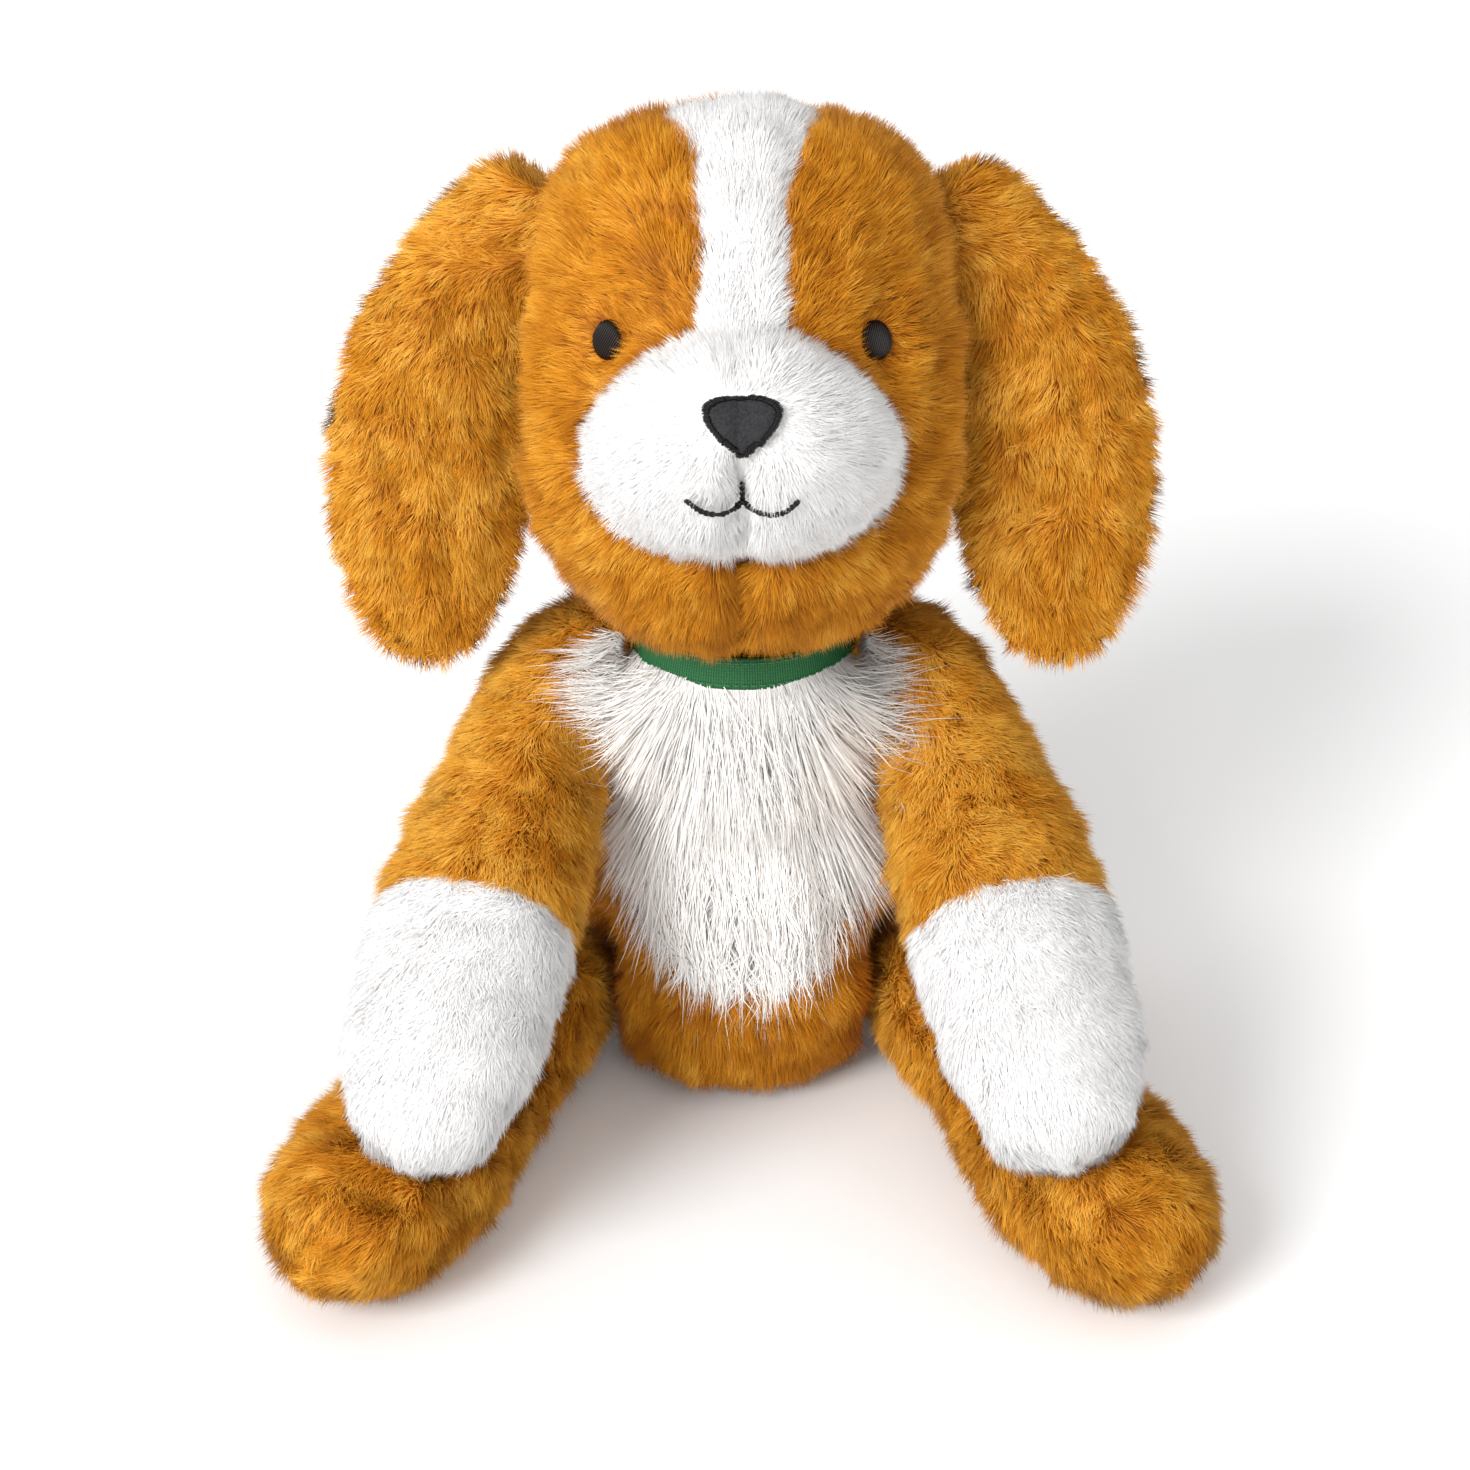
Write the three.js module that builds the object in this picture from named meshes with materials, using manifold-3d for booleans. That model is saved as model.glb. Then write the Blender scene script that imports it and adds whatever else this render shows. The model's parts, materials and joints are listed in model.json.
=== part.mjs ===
// A seated plush dog: fabric covers over stuffing, with an embroidered face, floppy ears, a ribbon collar
// and a bib of long hair. Millimetres, +Z up, the dog looks along -Y and sits on the plane Z = 0.
// Left and right are the dog's own, so its left side is at +X.

import * as THREE from 'three';
import { mergeVertices } from 'three/addons/utils/BufferGeometryUtils.js';
import Module from 'manifold-3d';

const wasm = await Module();
wasm.setup();

// ---------------------------------------------------------------- driving dimensions

const PLUSH = 5; // thickness of a cover: backing cloth with its pile
const GAP = 0.4; // clearance between neighbouring pieces
const ROOM = 2.6; // what the coarse copy of a moving limb is thicker by
const COARSE_FACETS = [10, 8];
const BALL_FACETS = [16, 10];
const ELLIPSOID_FACETS = [18, 10];
const DRUM_FACETS = 20;
const RIBBON_FACETS = 36;

// Torso: stations from the seat up to the neck
const TORSO = {
  spine: [[0, -9, -14], [0, -9, 35], [0, -1, 90], [0, 3, 154]],
  wide: [48, 52, 54, 52, 47, 39, 31, 28],
  deep: [49, 54, 53, 47, 40, 34, 29, 26],
  fullness: 3,
  facets: [16, 11],
};
const NECK_EDGE = 137; // height of the torso covers' open top

// Head: built upright around its own middle, then tipped back to look up
const HEAD_MIDDLE = [0, -8, 217];
const HEAD_TILT = 23; // degrees
const HEAD = {
  spine: [[0, -2, -76], [0, 0, 0], [0, 0, 82]],
  wide: [54, 60, 63, 63, 61, 60],
  deep: [46, 53, 56, 56, 54, 52],
  fullness: 3.1,
  facets: [18, 12],
};
const MUZZLE_MIDDLE = [0, -45, -9];
const MUZZLE_SIZE = [45, 33, 36]; // half width, half depth, half height

// Ears: a flat teardrop that hangs beside the head, in the plane y = EAR_PLANE of the head
const EAR_PLANE = 9;
const EAR = {
  spine: [
    [36, EAR_PLANE, 61], [60, EAR_PLANE, 51], [81, EAR_PLANE, 22], [92, EAR_PLANE, -20], [91, EAR_PLANE, -79],
  ],
  wide: [14, 19, 25, 29, 31, 32, 31],
  deep: [9, 10, 10, 10, 10, 10, 9],
  fullness: 2.8,
  facets: [12, 11],
};
const EAR_PIVOT = [50, EAR_PLANE, 53];

// Neck: a ball of stuffing between torso and head
const NECK_MIDDLE = [0, 4, 143];
const NECK_RADIUS = 18;

// Arms: from the shoulder down to a paw that rests on the leg
const SHOULDER = [48, 0, 121];
const SHOULDER_FACE = 37; // the flat side of the arm, where it is sewn to the torso
const ARM = {
  spine: [[29, 12, 125], [52, -12, 121], [70, -62, 100], [91, -163, 64]],
  wide: [24, 26, 25, 25, 30, 36, 36],
  deep: [24, 25, 24, 23, 24, 26, 26],
  fullness: 3.4,
  facets: [14, 10],
};
const CUFF = 0.75; // where the white paw starts, as a share of the arm's length

// Legs: from the hip forward and outward along the floor, ending in a round foot
const HIP = [60, -28, 27];
const LEG = {
  spine: [[51, -5, 25], [65, -38, 24], [88, -90, 21], [119, -168, 31]],
  wide: [24, 26, 27, 27, 31, 37, 37],
  deep: [24, 25, 23, 20, 22, 30, 32],
  fullness: 3,
  facets: [14, 10],
};
const LEG_SEAM_HEIGHT = 24;

// Tail: short, lying on the floor behind the seat
const TAIL_PIVOT = [0, 42, 20];
const TAIL = {
  spine: [[0, 34, 20], [0, 55, 19], [0, 86, 26]],
  wide: [10, 13, 14, 12],
  deep: [10, 13, 14, 12],
  fullness: 2.4,
  facets: [12, 8],
};

const COLLAR = { middle: [0, 2, 134], wide: 35, deep: 33, height: 9, thickness: 1.2 };
const BIB_THICKNESS = 8;
const BAG_MIDDLE = [0, 3, 15];
const BAG_SIZE = [23, 24, 11]; // half sizes of the pellet bag
const LABEL = { width: 14, height: 18, thickness: 0.8 };

// How far the joints turn whose whole sweep is cut out of their neighbours, in degrees
const EAR_LIFT = [0, 90];
const LEG_SPLAY = [-4, 24];
const SWEEP_STEPS = 6;

// ---------------------------------------------------------------- materials

const material = (color, roughness) => new THREE.MeshStandardMaterial({ color, roughness, metalness: 0 });
const GOLD_PLUSH = material('#c47e22', 0.9);
const WHITE_PLUSH = material('#f7f3ee', 0.9);
const LONG_PILE = material('#efe9e2', 0.85);
const RIBBON = material('#1f5f36', 0.6);
const THREAD = material('#2c2a2e', 0.7);
const STUFFING = material('#f4f4f2', 1);
const PELLET_CLOTH = material('#e4ded2', 0.9);
const LABEL_SATIN = material('#fbfbf8', 0.5);

// ---------------------------------------------------------------- solids

const vector = (point) => new THREE.Vector3(...point);
const mirrored = (solid) => solid.mirror([1, 0, 0]);

function solidOf(geometry) {
  geometry.deleteAttribute('normal');
  geometry.deleteAttribute('uv');
  const merged = mergeVertices(geometry, 1e-4);
  const mesh = new wasm.Mesh({
    numProp: 3,
    vertProperties: merged.attributes.position.array,
    triVerts: Uint32Array.from(merged.index.array),
  });
  return new wasm.Manifold(mesh);
}

function geometryOf(solid) {
  const mesh = solid.getMesh();
  const geometry = new THREE.BufferGeometry();
  geometry.setAttribute('position', new THREE.BufferAttribute(mesh.vertProperties, 3));
  geometry.setIndex(new THREE.BufferAttribute(mesh.triVerts, 1));
  geometry.computeVertexNormals();
  return geometry;
}

const union = (solids) => wasm.Manifold.union(solids);

/** The value of a list of equally spaced numbers at a share of its length, with a smooth pass. */
function along(list, share) {
  const curve = new THREE.SplineCurve(list.map((value, i) => new THREE.Vector2(i, value)));
  return curve.getPoint(share).y;
}

/**
 * A stuffed shape: rings along a smooth spine, with half sizes "wide" (towards X) and "deep" (across it),
 * closing in a round end at both ends. "inset" makes it thinner all round, and below zero thicker.
 */
function stuffed({ spine, wide, deep, fullness, facets }, inset = 0) {
  const curve = new THREE.CatmullRomCurve3(spine.map(vector));
  const geometry = new THREE.SphereGeometry(1, ...facets);
  const position = geometry.attributes.position;
  const point = new THREE.Vector3();
  for (let i = 0; i < position.count; i++) {
    point.fromBufferAttribute(position, i);
    const towardsStart = THREE.MathUtils.clamp(point.y, -1, 1);
    const share = (1 - towardsStart) / 2;
    const circle = Math.hypot(point.x, point.z);
    const closing = circle < 1e-6 ? 0 : (1 - Math.abs(towardsStart) ** fullness) ** (1 / fullness) / circle;
    const tangent = curve.getTangent(share);
    const deepWay = new THREE.Vector3(1, 0, 0).cross(tangent).normalize();
    const wideWay = tangent.clone().cross(deepWay).normalize();
    const centre = curve.getPoint(share).addScaledVector(tangent, towardsStart * inset);
    centre.addScaledVector(wideWay, point.x * closing * (along(wide, share) - inset));
    centre.addScaledVector(deepWay, -point.z * closing * (along(deep, share) - inset));
    position.setXYZ(i, centre.x, centre.y, centre.z);
  }
  return solidOf(geometry);
}

/** A coarse, slightly thicker copy of a shape, to cut the room that it moves in. */
const roomFor = (shape) => stuffed({ ...shape, facets: COARSE_FACETS }, -ROOM);

const above = (solid, height) => solid.trimByPlane([0, 0, 1], height);
const below = (solid, height) => solid.trimByPlane([0, 0, -1], -height);
const infront = (solid, y) => solid.trimByPlane([0, -1, 0], -y);
const behind = (solid, y) => solid.trimByPlane([0, 1, 0], y);
const leftOf = (solid, x) => solid.trimByPlane([1, 0, 0], x);
const rightOf = (solid, x) => solid.trimByPlane([-1, 0, 0], -x);

/** The biggest of the separate bodies in a solid: cuts can leave crumbs. */
function largest(solid) {
  const bodies = solid.decompose();
  bodies.sort((a, b) => b.volume() - a.volume());
  return bodies[0];
}

/** A solid turned by degrees about an axis through a point, and the volume it sweeps over several turns. */
function turned(solid, pivot, degrees) {
  const [x, y, z] = pivot;
  return solid.translate([-x, -y, -z]).rotate(degrees).translate(pivot);
}

function swept(solid, pivot, axis, [from, to], steps) {
  const copies = [];
  for (let i = 0; i <= steps; i++) {
    const angle = from + ((to - from) * i) / steps;
    copies.push(turned(solid, pivot, axis.map((a) => a * angle)));
  }
  return union(copies);
}

function ball(middle, radius) {
  const geometry = new THREE.SphereGeometry(radius, ...BALL_FACETS);
  geometry.translate(...middle);
  return solidOf(geometry);
}

function ellipsoid(middle, size, grow = 0) {
  const geometry = new THREE.SphereGeometry(1, ...ELLIPSOID_FACETS);
  geometry.scale(...size.map((half) => half + grow));
  geometry.translate(...middle);
  return solidOf(geometry);
}

/** A cylinder around an axis along X or Z through a point, between two places on that axis. */
function drum(middle, axis, radius, [from, to]) {
  const geometry = new THREE.CylinderGeometry(radius, radius, to - from, DRUM_FACETS);
  const [x, y, z] = middle;
  if (axis === 'x') {
    geometry.rotateZ(Math.PI / 2);
    geometry.translate((from + to) / 2, y, z);
  } else {
    geometry.rotateX(Math.PI / 2);
    geometry.translate(x, y, (from + to) / 2);
  }
  return solidOf(geometry);
}

function box(size, middle) {
  const geometry = new THREE.BoxGeometry(...size);
  geometry.translate(...middle);
  return solidOf(geometry);
}

/**
 * A prism along Y between two depths. "half" lists the outline's points [x, z] from the top round the left
 * side to the bottom; it is mirrored and joined by a smooth curve. "grow" moves the outline outward.
 */
function prism(half, fromY, toY, grow = 0, middleX = 0) {
  const middleZ = (half[0][1] + half[half.length - 1][1]) / 2;
  const right = half.slice(1, -1).reverse().map(([x, z]) => [-x, z]);
  const points = [...half, ...right].map(([x, z]) => {
    const outward = new THREE.Vector2(x, z - middleZ);
    outward.setLength(outward.length() + grow);
    return new THREE.Vector3(outward.x + middleX, outward.y + middleZ, 0);
  });
  const outline = new THREE.CatmullRomCurve3(points, true, 'centripetal').getPoints(points.length * 2);
  const shape = new THREE.Shape(outline.slice(0, -1).map((p) => new THREE.Vector2(p.x, p.y)));
  const geometry = new THREE.ExtrudeGeometry(shape, { depth: toY - fromY, bevelEnabled: false });
  geometry.rotateX(Math.PI / 2);
  geometry.translate(0, toY, 0);
  return solidOf(geometry);
}

/** A round thread through points. */
function thread(points, radius) {
  const path = new THREE.CatmullRomCurve3(points);
  const section = new THREE.Shape().absarc(0, 0, radius, 0, 2 * Math.PI);
  const options = { steps: points.length * 2, curveSegments: 2, extrudePath: path };
  return solidOf(new THREE.ExtrudeGeometry(section, options));
}

// ---------------------------------------------------------------- the assembly, as nested bodies

/** A body: a group whose origin is the pivot of its joint. Pieces and child bodies hang in it. */
function body(parent, pivot) {
  const group = new THREE.Group();
  group.position.copy(vector(pivot)).sub(parent ? parent.userData.pivot : new THREE.Vector3());
  group.userData.pivot = vector(pivot);
  if (parent) parent.add(group);
  return group;
}

/** Adds a solid, given in the dog's own frame, to a body as a named mesh. */
function add(group, name, solid, surface) {
  const geometry = geometryOf(largest(solid));
  geometry.translate(...group.userData.pivot.clone().negate().toArray());
  const mesh = new THREE.Mesh(geometry, surface);
  mesh.name = name;
  group.add(mesh);
}

const inHead = (point) => vector(point)
  .applyAxisAngle(new THREE.Vector3(1, 0, 0), THREE.MathUtils.degToRad(-HEAD_TILT))
  .add(vector(HEAD_MIDDLE)).toArray();
const headToDog = (solid) => solid.rotate([-HEAD_TILT, 0, 0]).translate(HEAD_MIDDLE);

const torso = body(null, [0, 0, 0]);
const neck = body(torso, NECK_MIDDLE);
const head = body(neck, NECK_MIDDLE);
const leftEar = body(head, inHead(EAR_PIVOT));
const rightEar = body(head, inHead([-EAR_PIVOT[0], EAR_PIVOT[1], EAR_PIVOT[2]]));
const leftArm = body(torso, SHOULDER);
const rightArm = body(torso, [-SHOULDER[0], SHOULDER[1], SHOULDER[2]]);
const leftLeg = body(torso, HIP);
const rightLeg = body(torso, [-HIP[0], HIP[1], HIP[2]]);
const tail = body(torso, TAIL_PIVOT);

// ---------------------------------------------------------------- head, in its own upright frame

const BLAZE_OUTLINE = [
  [0, 98], [25, 96], [28, 87], [20, 74], [13, 62], [11, 44], [11.5, 26], [11, 10], [0, 8],
];
const MUZZLE_OUTLINE = [
  [0, 21], [13, 20], [25, 14], [35, 5], [41.5, -4], [43.5, -13], [42, -22], [36, -31], [24, -39], [11, -42.5],
  [0, -41],
];
const NOSE_OUTLINE = [[0, 6], [8, 5.6], [11.3, 2.5], [10.3, -2], [6, -7], [2, -10], [0, -10.2]];
const EYE = { x: 36.5, z: 19, wide: 4.4, high: 5.5 };
const HEAD_SEAM = EAR_PLANE; // front and back panels meet in the plane of the ears
const FACE_FRONT = -100; // in front of everything on the head
const MUZZLE_BACK = -10; // how deep the muzzle's outline cuts into the head
const EYE_BACK = -20;
const NOSE_BACK = -50;
const BLAZE_PAST_SEAM = 5; // the blaze runs a little over the top of the head, behind the seam

const headShape = (inset) => union([stuffed(HEAD, inset), ellipsoid(MUZZLE_MIDDLE, MUZZLE_SIZE, -inset)]);
const headOuter = headShape(0);
const headShell = headOuter.subtract(headShape(PLUSH));
const neckSocket = ball(NECK_MIDDLE, NECK_RADIUS + 2 * GAP);
const onHead = (solid) => headToDog(solid).subtract(neckSocket);

const muzzlePrism = (grow) => prism(MUZZLE_OUTLINE, FACE_FRONT, MUZZLE_BACK, grow);
const blazePrism = (grow) => prism(BLAZE_OUTLINE, FACE_FRONT, HEAD_SEAM + BLAZE_PAST_SEAM, grow);
const DIAGONAL = Math.SQRT1_2;
const eyeHalf = [[0, EYE.high], [DIAGONAL * EYE.wide, DIAGONAL * EYE.high], [EYE.wide, 0]];
const eyeOutline = [...eyeHalf, ...eyeHalf.slice(0, 2).reverse().map(([x, z]) => [x, -z])]
  .map(([x, z]) => [x, z + EYE.z]);
const eyePrism = (grow) => prism(eyeOutline, FACE_FRONT, EYE_BACK, grow, EYE.x);

const frontShell = infront(headShell, HEAD_SEAM - GAP / 2);
const backShell = behind(headShell, HEAD_SEAM + GAP / 2);
const goldFront = frontShell.subtract(muzzlePrism(GAP)).subtract(blazePrism(GAP));
const leftSidePanel = leftOf(goldFront, GAP / 2).subtract(eyePrism(GAP));
const muzzle = frontShell.intersect(muzzlePrism(0));
const blaze = frontShell.intersect(blazePrism(0)).subtract(muzzlePrism(GAP));

add(head, 'head_side_panel_left', onHead(leftSidePanel), GOLD_PLUSH);
add(head, 'head_side_panel_right', onHead(mirrored(leftSidePanel)), GOLD_PLUSH);
add(head, 'head_back_panel_left', onHead(leftOf(backShell, GAP / 2)), GOLD_PLUSH);
add(head, 'head_back_panel_right', onHead(rightOf(backShell, -GAP / 2)), GOLD_PLUSH);
add(head, 'blaze_panel', onHead(blaze), WHITE_PLUSH);
add(head, 'muzzle_panel_left', onHead(leftOf(muzzle, GAP / 2)), WHITE_PLUSH);
add(head, 'muzzle_panel_right', onHead(rightOf(muzzle, -GAP / 2)), WHITE_PLUSH);
add(head, 'head_stuffing', onHead(headShape(PLUSH + GAP)), STUFFING);

// Eyes: padded discs of thread that fill a hole through the pile
const EYE_SUNK = 1; // how far the disc lies below the outside of the pile
const EYE_BED = PLUSH - 0.5; // and how deep it reaches
const eye = eyePrism(0).intersect(stuffed(HEAD, EYE_SUNK)).subtract(stuffed(HEAD, EYE_BED));
add(head, 'eye_left', headToDog(eye), THREAD);
add(head, 'eye_right', headToDog(mirrored(eye)), THREAD);

// Nose: a patch that follows the muzzle
const NOSE_THICKNESS = 3;
const nose = prism(NOSE_OUTLINE, FACE_FRONT, NOSE_BACK)
  .intersect(ellipsoid(MUZZLE_MIDDLE, MUZZLE_SIZE, NOSE_THICKNESS))
  .subtract(ellipsoid(MUZZLE_MIDDLE, MUZZLE_SIZE, GAP));
add(head, 'nose', headToDog(nose), THREAD);

// Mouth: a thread from the nose down, and two arcs
const MOUTH_THREAD = 0.8; // radius
const onMuzzle = ([x, z]) => {
  const [halfWide, halfDeep, halfHigh] = MUZZLE_SIZE.map((half) => half + MOUTH_THREAD + GAP);
  const across = (x / halfWide) ** 2 + ((z - MUZZLE_MIDDLE[2]) / halfHigh) ** 2;
  return new THREE.Vector3(x, MUZZLE_MIDDLE[1] - halfDeep * Math.sqrt(1 - across), z);
};
const halfSmile = [[3, -24], [7.5, -25.2], [11.5, -24], [15, -21]];
const smile = [...halfSmile.map(([x, z]) => [-x, z]).reverse(), [0, -22.5], ...halfSmile];
const lip = [[0, -11.5], [0, -16], [0, -22.5]];
const mouth = union([thread(smile.map(onMuzzle), MOUTH_THREAD), thread(lip.map(onMuzzle), MOUTH_THREAD)]);
add(head, 'mouth_stitching', headToDog(mouth), THREAD);

// ---------------------------------------------------------------- ears

const headForEar = union([stuffed(HEAD, -GAP), ellipsoid(MUZZLE_MIDDLE, MUZZLE_SIZE, GAP)]);
const earClearance = swept(headForEar, EAR_PIVOT, [0, 1, 0], EAR_LIFT, SWEEP_STEPS);
const ear = stuffed(EAR).subtract(earClearance);
const earFront = infront(ear, EAR_PLANE - GAP / 2);
const earBack = behind(ear, EAR_PLANE + GAP / 2);
add(leftEar, 'ear_front_panel_left', headToDog(earFront), GOLD_PLUSH);
add(leftEar, 'ear_back_panel_left', headToDog(earBack), GOLD_PLUSH);
add(rightEar, 'ear_front_panel_right', headToDog(mirrored(earFront)), GOLD_PLUSH);
add(rightEar, 'ear_back_panel_right', headToDog(mirrored(earBack)), GOLD_PLUSH);

// ---------------------------------------------------------------- neck

add(neck, 'neck_stuffing', ball(NECK_MIDDLE, NECK_RADIUS), STUFFING);

// ---------------------------------------------------------------- legs

const legOuter = above(stuffed(LEG), 0);
const legShell = legOuter.subtract(above(stuffed(LEG, PLUSH), PLUSH));
const legUpper = above(legShell, LEG_SEAM_HEIGHT + GAP / 2);
const legUnder = below(legShell, LEG_SEAM_HEIGHT - GAP / 2);
const legStuffing = above(stuffed(LEG, PLUSH + GAP), PLUSH + GAP);
for (const [group, side, place] of [[leftLeg, 'left', (s) => s], [rightLeg, 'right', mirrored]]) {
  add(group, `leg_upper_cover_${side}`, place(legUpper), GOLD_PLUSH);
  add(group, `leg_under_cover_${side}`, place(legUnder), GOLD_PLUSH);
  add(group, `leg_stuffing_${side}`, place(legStuffing), STUFFING);
}

// ---------------------------------------------------------------- arms

const legClearance = swept(roomFor(LEG), HIP, [0, 0, 1], LEG_SPLAY, SWEEP_STEPS);
const armPiece = (inset) => leftOf(stuffed(ARM, inset), SHOULDER_FACE).subtract(legClearance);
const armShell = armPiece(0).subtract(stuffed(ARM, PLUSH));
const armCurve = new THREE.CatmullRomCurve3(ARM.spine.map(vector));
const cuffNormal = armCurve.getTangent(CUFF);
const cuffOffset = armCurve.getPoint(CUFF).dot(cuffNormal);
const sleeve = armShell.trimByPlane(cuffNormal.clone().negate().toArray(), -cuffOffset + GAP / 2);
const paw = armShell.trimByPlane(cuffNormal.toArray(), cuffOffset + GAP / 2);
for (const [group, side, place] of [[leftArm, 'left', (s) => s], [rightArm, 'right', mirrored]]) {
  add(group, `arm_sleeve_${side}`, place(sleeve), GOLD_PLUSH);
  add(group, `paw_${side}`, place(paw), WHITE_PLUSH);
  add(group, `arm_stuffing_${side}`, place(armPiece(PLUSH + GAP)), STUFFING);
}

// ---------------------------------------------------------------- tail

const tailShell = behind(stuffed(TAIL).subtract(stuffed(TAIL, PLUSH)), TAIL_PIVOT[1]);
add(tail, 'tail_cover', tailShell, GOLD_PLUSH);
add(tail, 'tail_stuffing', stuffed(TAIL, PLUSH + GAP), STUFFING);

// ---------------------------------------------------------------- torso

// Around each hinge the torso is cut back to a shape that the turning limb can't reach
const ARM_REACH = 42; // radii of the round hollows
const LEG_REACH = LEG.wide[1] + 3;
const TAIL_REACH = TAIL.wide[1] + 1;
const LEG_ROOM_HEIGHTS = [-10, 56];
const TAIL_ROOM_HEIGHTS = [3, 38];
const armRoom = drum(SHOULDER, 'x', ARM_REACH, [SHOULDER_FACE - GAP, SHOULDER_FACE + ARM_REACH]);
const legRoom = union([
  drum(HIP, 'z', LEG_REACH, LEG_ROOM_HEIGHTS),
  turned(roomFor(LEG), HIP, [0, 0, LEG_SPLAY[0]]),
]);
const tailRoom = drum(TAIL_PIVOT, 'z', TAIL_REACH, TAIL_ROOM_HEIGHTS);
const clearance = union([armRoom, mirrored(armRoom), legRoom, mirrored(legRoom), tailRoom, neckSocket]);

const TORSO_SIDE_SEAM = 0; // the front and back covers meet in this plane
const BIB_OUTLINE = [[0, 127], [20, 126], [31, 119], [35, 104], [33, 85], [26, 64], [14, 50], [0, 46]];
const BIB_FRONT = -90;
const BIB_BACK = -10;
const bibPrism = (grow) => prism(BIB_OUTLINE, BIB_FRONT, BIB_BACK, grow);

const torsoOuter = below(above(stuffed(TORSO), 0), NECK_EDGE);
const torsoInner = above(stuffed(TORSO, PLUSH), PLUSH);
const torsoShell = above(torsoOuter.subtract(torsoInner).subtract(clearance), PLUSH + GAP / 2);
const torsoFront = infront(torsoShell, TORSO_SIDE_SEAM - GAP / 2).subtract(bibPrism(GAP));
const torsoBack = behind(torsoShell, TORSO_SIDE_SEAM + GAP / 2);
const bib = stuffed(TORSO, -BIB_THICKNESS).subtract(torsoInner).intersect(bibPrism(0)).subtract(clearance);
const seatBase = below(torsoOuter, PLUSH - GAP / 2).subtract(clearance);

const pelletBag = above(ellipsoid(BAG_MIDDLE, BAG_SIZE), PLUSH + GAP);
const torsoStuffing = below(above(stuffed(TORSO, PLUSH + GAP), PLUSH + GAP), NECK_EDGE)
  .subtract(clearance)
  .subtract(ellipsoid(BAG_MIDDLE, BAG_SIZE, GAP));

add(torso, 'torso_front_cover', torsoFront, GOLD_PLUSH);
add(torso, 'torso_back_cover_left', leftOf(torsoBack, GAP / 2), GOLD_PLUSH);
add(torso, 'torso_back_cover_right', rightOf(torsoBack, -GAP / 2), GOLD_PLUSH);
add(torso, 'seat_base', seatBase, GOLD_PLUSH);
add(torso, 'torso_stuffing', torsoStuffing, STUFFING);
add(torso, 'pellet_bag', pelletBag, PELLET_CLOTH);

// Collar: a flat ribbon ring around the neck
const { thickness, height } = COLLAR;
const collarProfile = [[1, -height / 2], [1 + thickness / COLLAR.wide, -height / 2],
  [1 + thickness / COLLAR.wide, height / 2], [1, height / 2], [1, -height / 2]];
const collarPoints = collarProfile.map(([x, y]) => new THREE.Vector2(x, y));
const collarRing = new THREE.LatheGeometry(collarPoints, RIBBON_FACETS);
collarRing.rotateX(Math.PI / 2);
collarRing.scale(COLLAR.wide, COLLAR.deep, 1);
collarRing.translate(...COLLAR.middle);
const collar = solidOf(collarRing);
add(torso, 'collar_ribbon', collar, RIBBON);
add(torso, 'chest_bib', bib, LONG_PILE);

// Care label: a blank satin loop in the side seam
const LABEL_PLACE = [TORSO.wide[2] + 1, 14, 20]; // the middle of its sewn edge
const labelMiddle = [LABEL_PLACE[0] + LABEL.width / 2, LABEL_PLACE[1], LABEL_PLACE[2]];
add(torso, 'care_label', box([LABEL.width, LABEL.thickness, LABEL.height], labelMiddle), LABEL_SATIN);

export default torso;
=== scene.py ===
"""A seated plush dog: fur covers over stuffing, an embroidered face, a ribbon collar and a long-haired bib.

Every cover is a skin of backing cloth with its pile, made as thousands of tapered strands of mesh.
Lengths are in millimetres times MM, and the dog looks along -Y with its left side at +X.
"""

import json
import math

import bmesh
import bpy
import numpy as np
from mathutils import Matrix, Vector
from mathutils.bvhtree import BVHTree


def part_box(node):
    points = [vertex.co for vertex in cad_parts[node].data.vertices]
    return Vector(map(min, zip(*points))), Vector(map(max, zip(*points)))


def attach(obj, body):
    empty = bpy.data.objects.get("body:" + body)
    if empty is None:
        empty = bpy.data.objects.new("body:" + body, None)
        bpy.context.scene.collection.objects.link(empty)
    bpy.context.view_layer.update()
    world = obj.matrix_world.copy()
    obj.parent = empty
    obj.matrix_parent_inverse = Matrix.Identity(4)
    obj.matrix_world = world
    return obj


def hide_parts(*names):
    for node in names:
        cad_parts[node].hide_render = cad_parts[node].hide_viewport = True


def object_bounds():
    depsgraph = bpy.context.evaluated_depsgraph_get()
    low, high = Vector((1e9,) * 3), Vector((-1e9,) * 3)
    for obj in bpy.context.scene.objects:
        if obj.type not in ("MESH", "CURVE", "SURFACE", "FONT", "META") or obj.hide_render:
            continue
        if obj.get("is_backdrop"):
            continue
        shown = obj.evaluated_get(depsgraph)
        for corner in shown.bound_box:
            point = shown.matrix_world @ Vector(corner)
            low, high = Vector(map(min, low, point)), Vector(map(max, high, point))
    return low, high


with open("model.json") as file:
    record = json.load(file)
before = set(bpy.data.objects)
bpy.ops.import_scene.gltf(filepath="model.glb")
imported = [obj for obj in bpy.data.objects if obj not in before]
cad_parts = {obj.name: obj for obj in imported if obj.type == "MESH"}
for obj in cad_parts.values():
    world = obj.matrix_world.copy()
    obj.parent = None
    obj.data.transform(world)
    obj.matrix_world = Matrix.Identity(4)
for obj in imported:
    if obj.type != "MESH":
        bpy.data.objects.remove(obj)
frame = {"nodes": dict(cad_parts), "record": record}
CAD_LOW, CAD_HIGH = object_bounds()

MM = 0.001
SIDES = (("left", 1), ("right", -1))
NODES = frame["nodes"]
BODY_NODES = frame["record"]["behaviour"]["bodies"]

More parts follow.
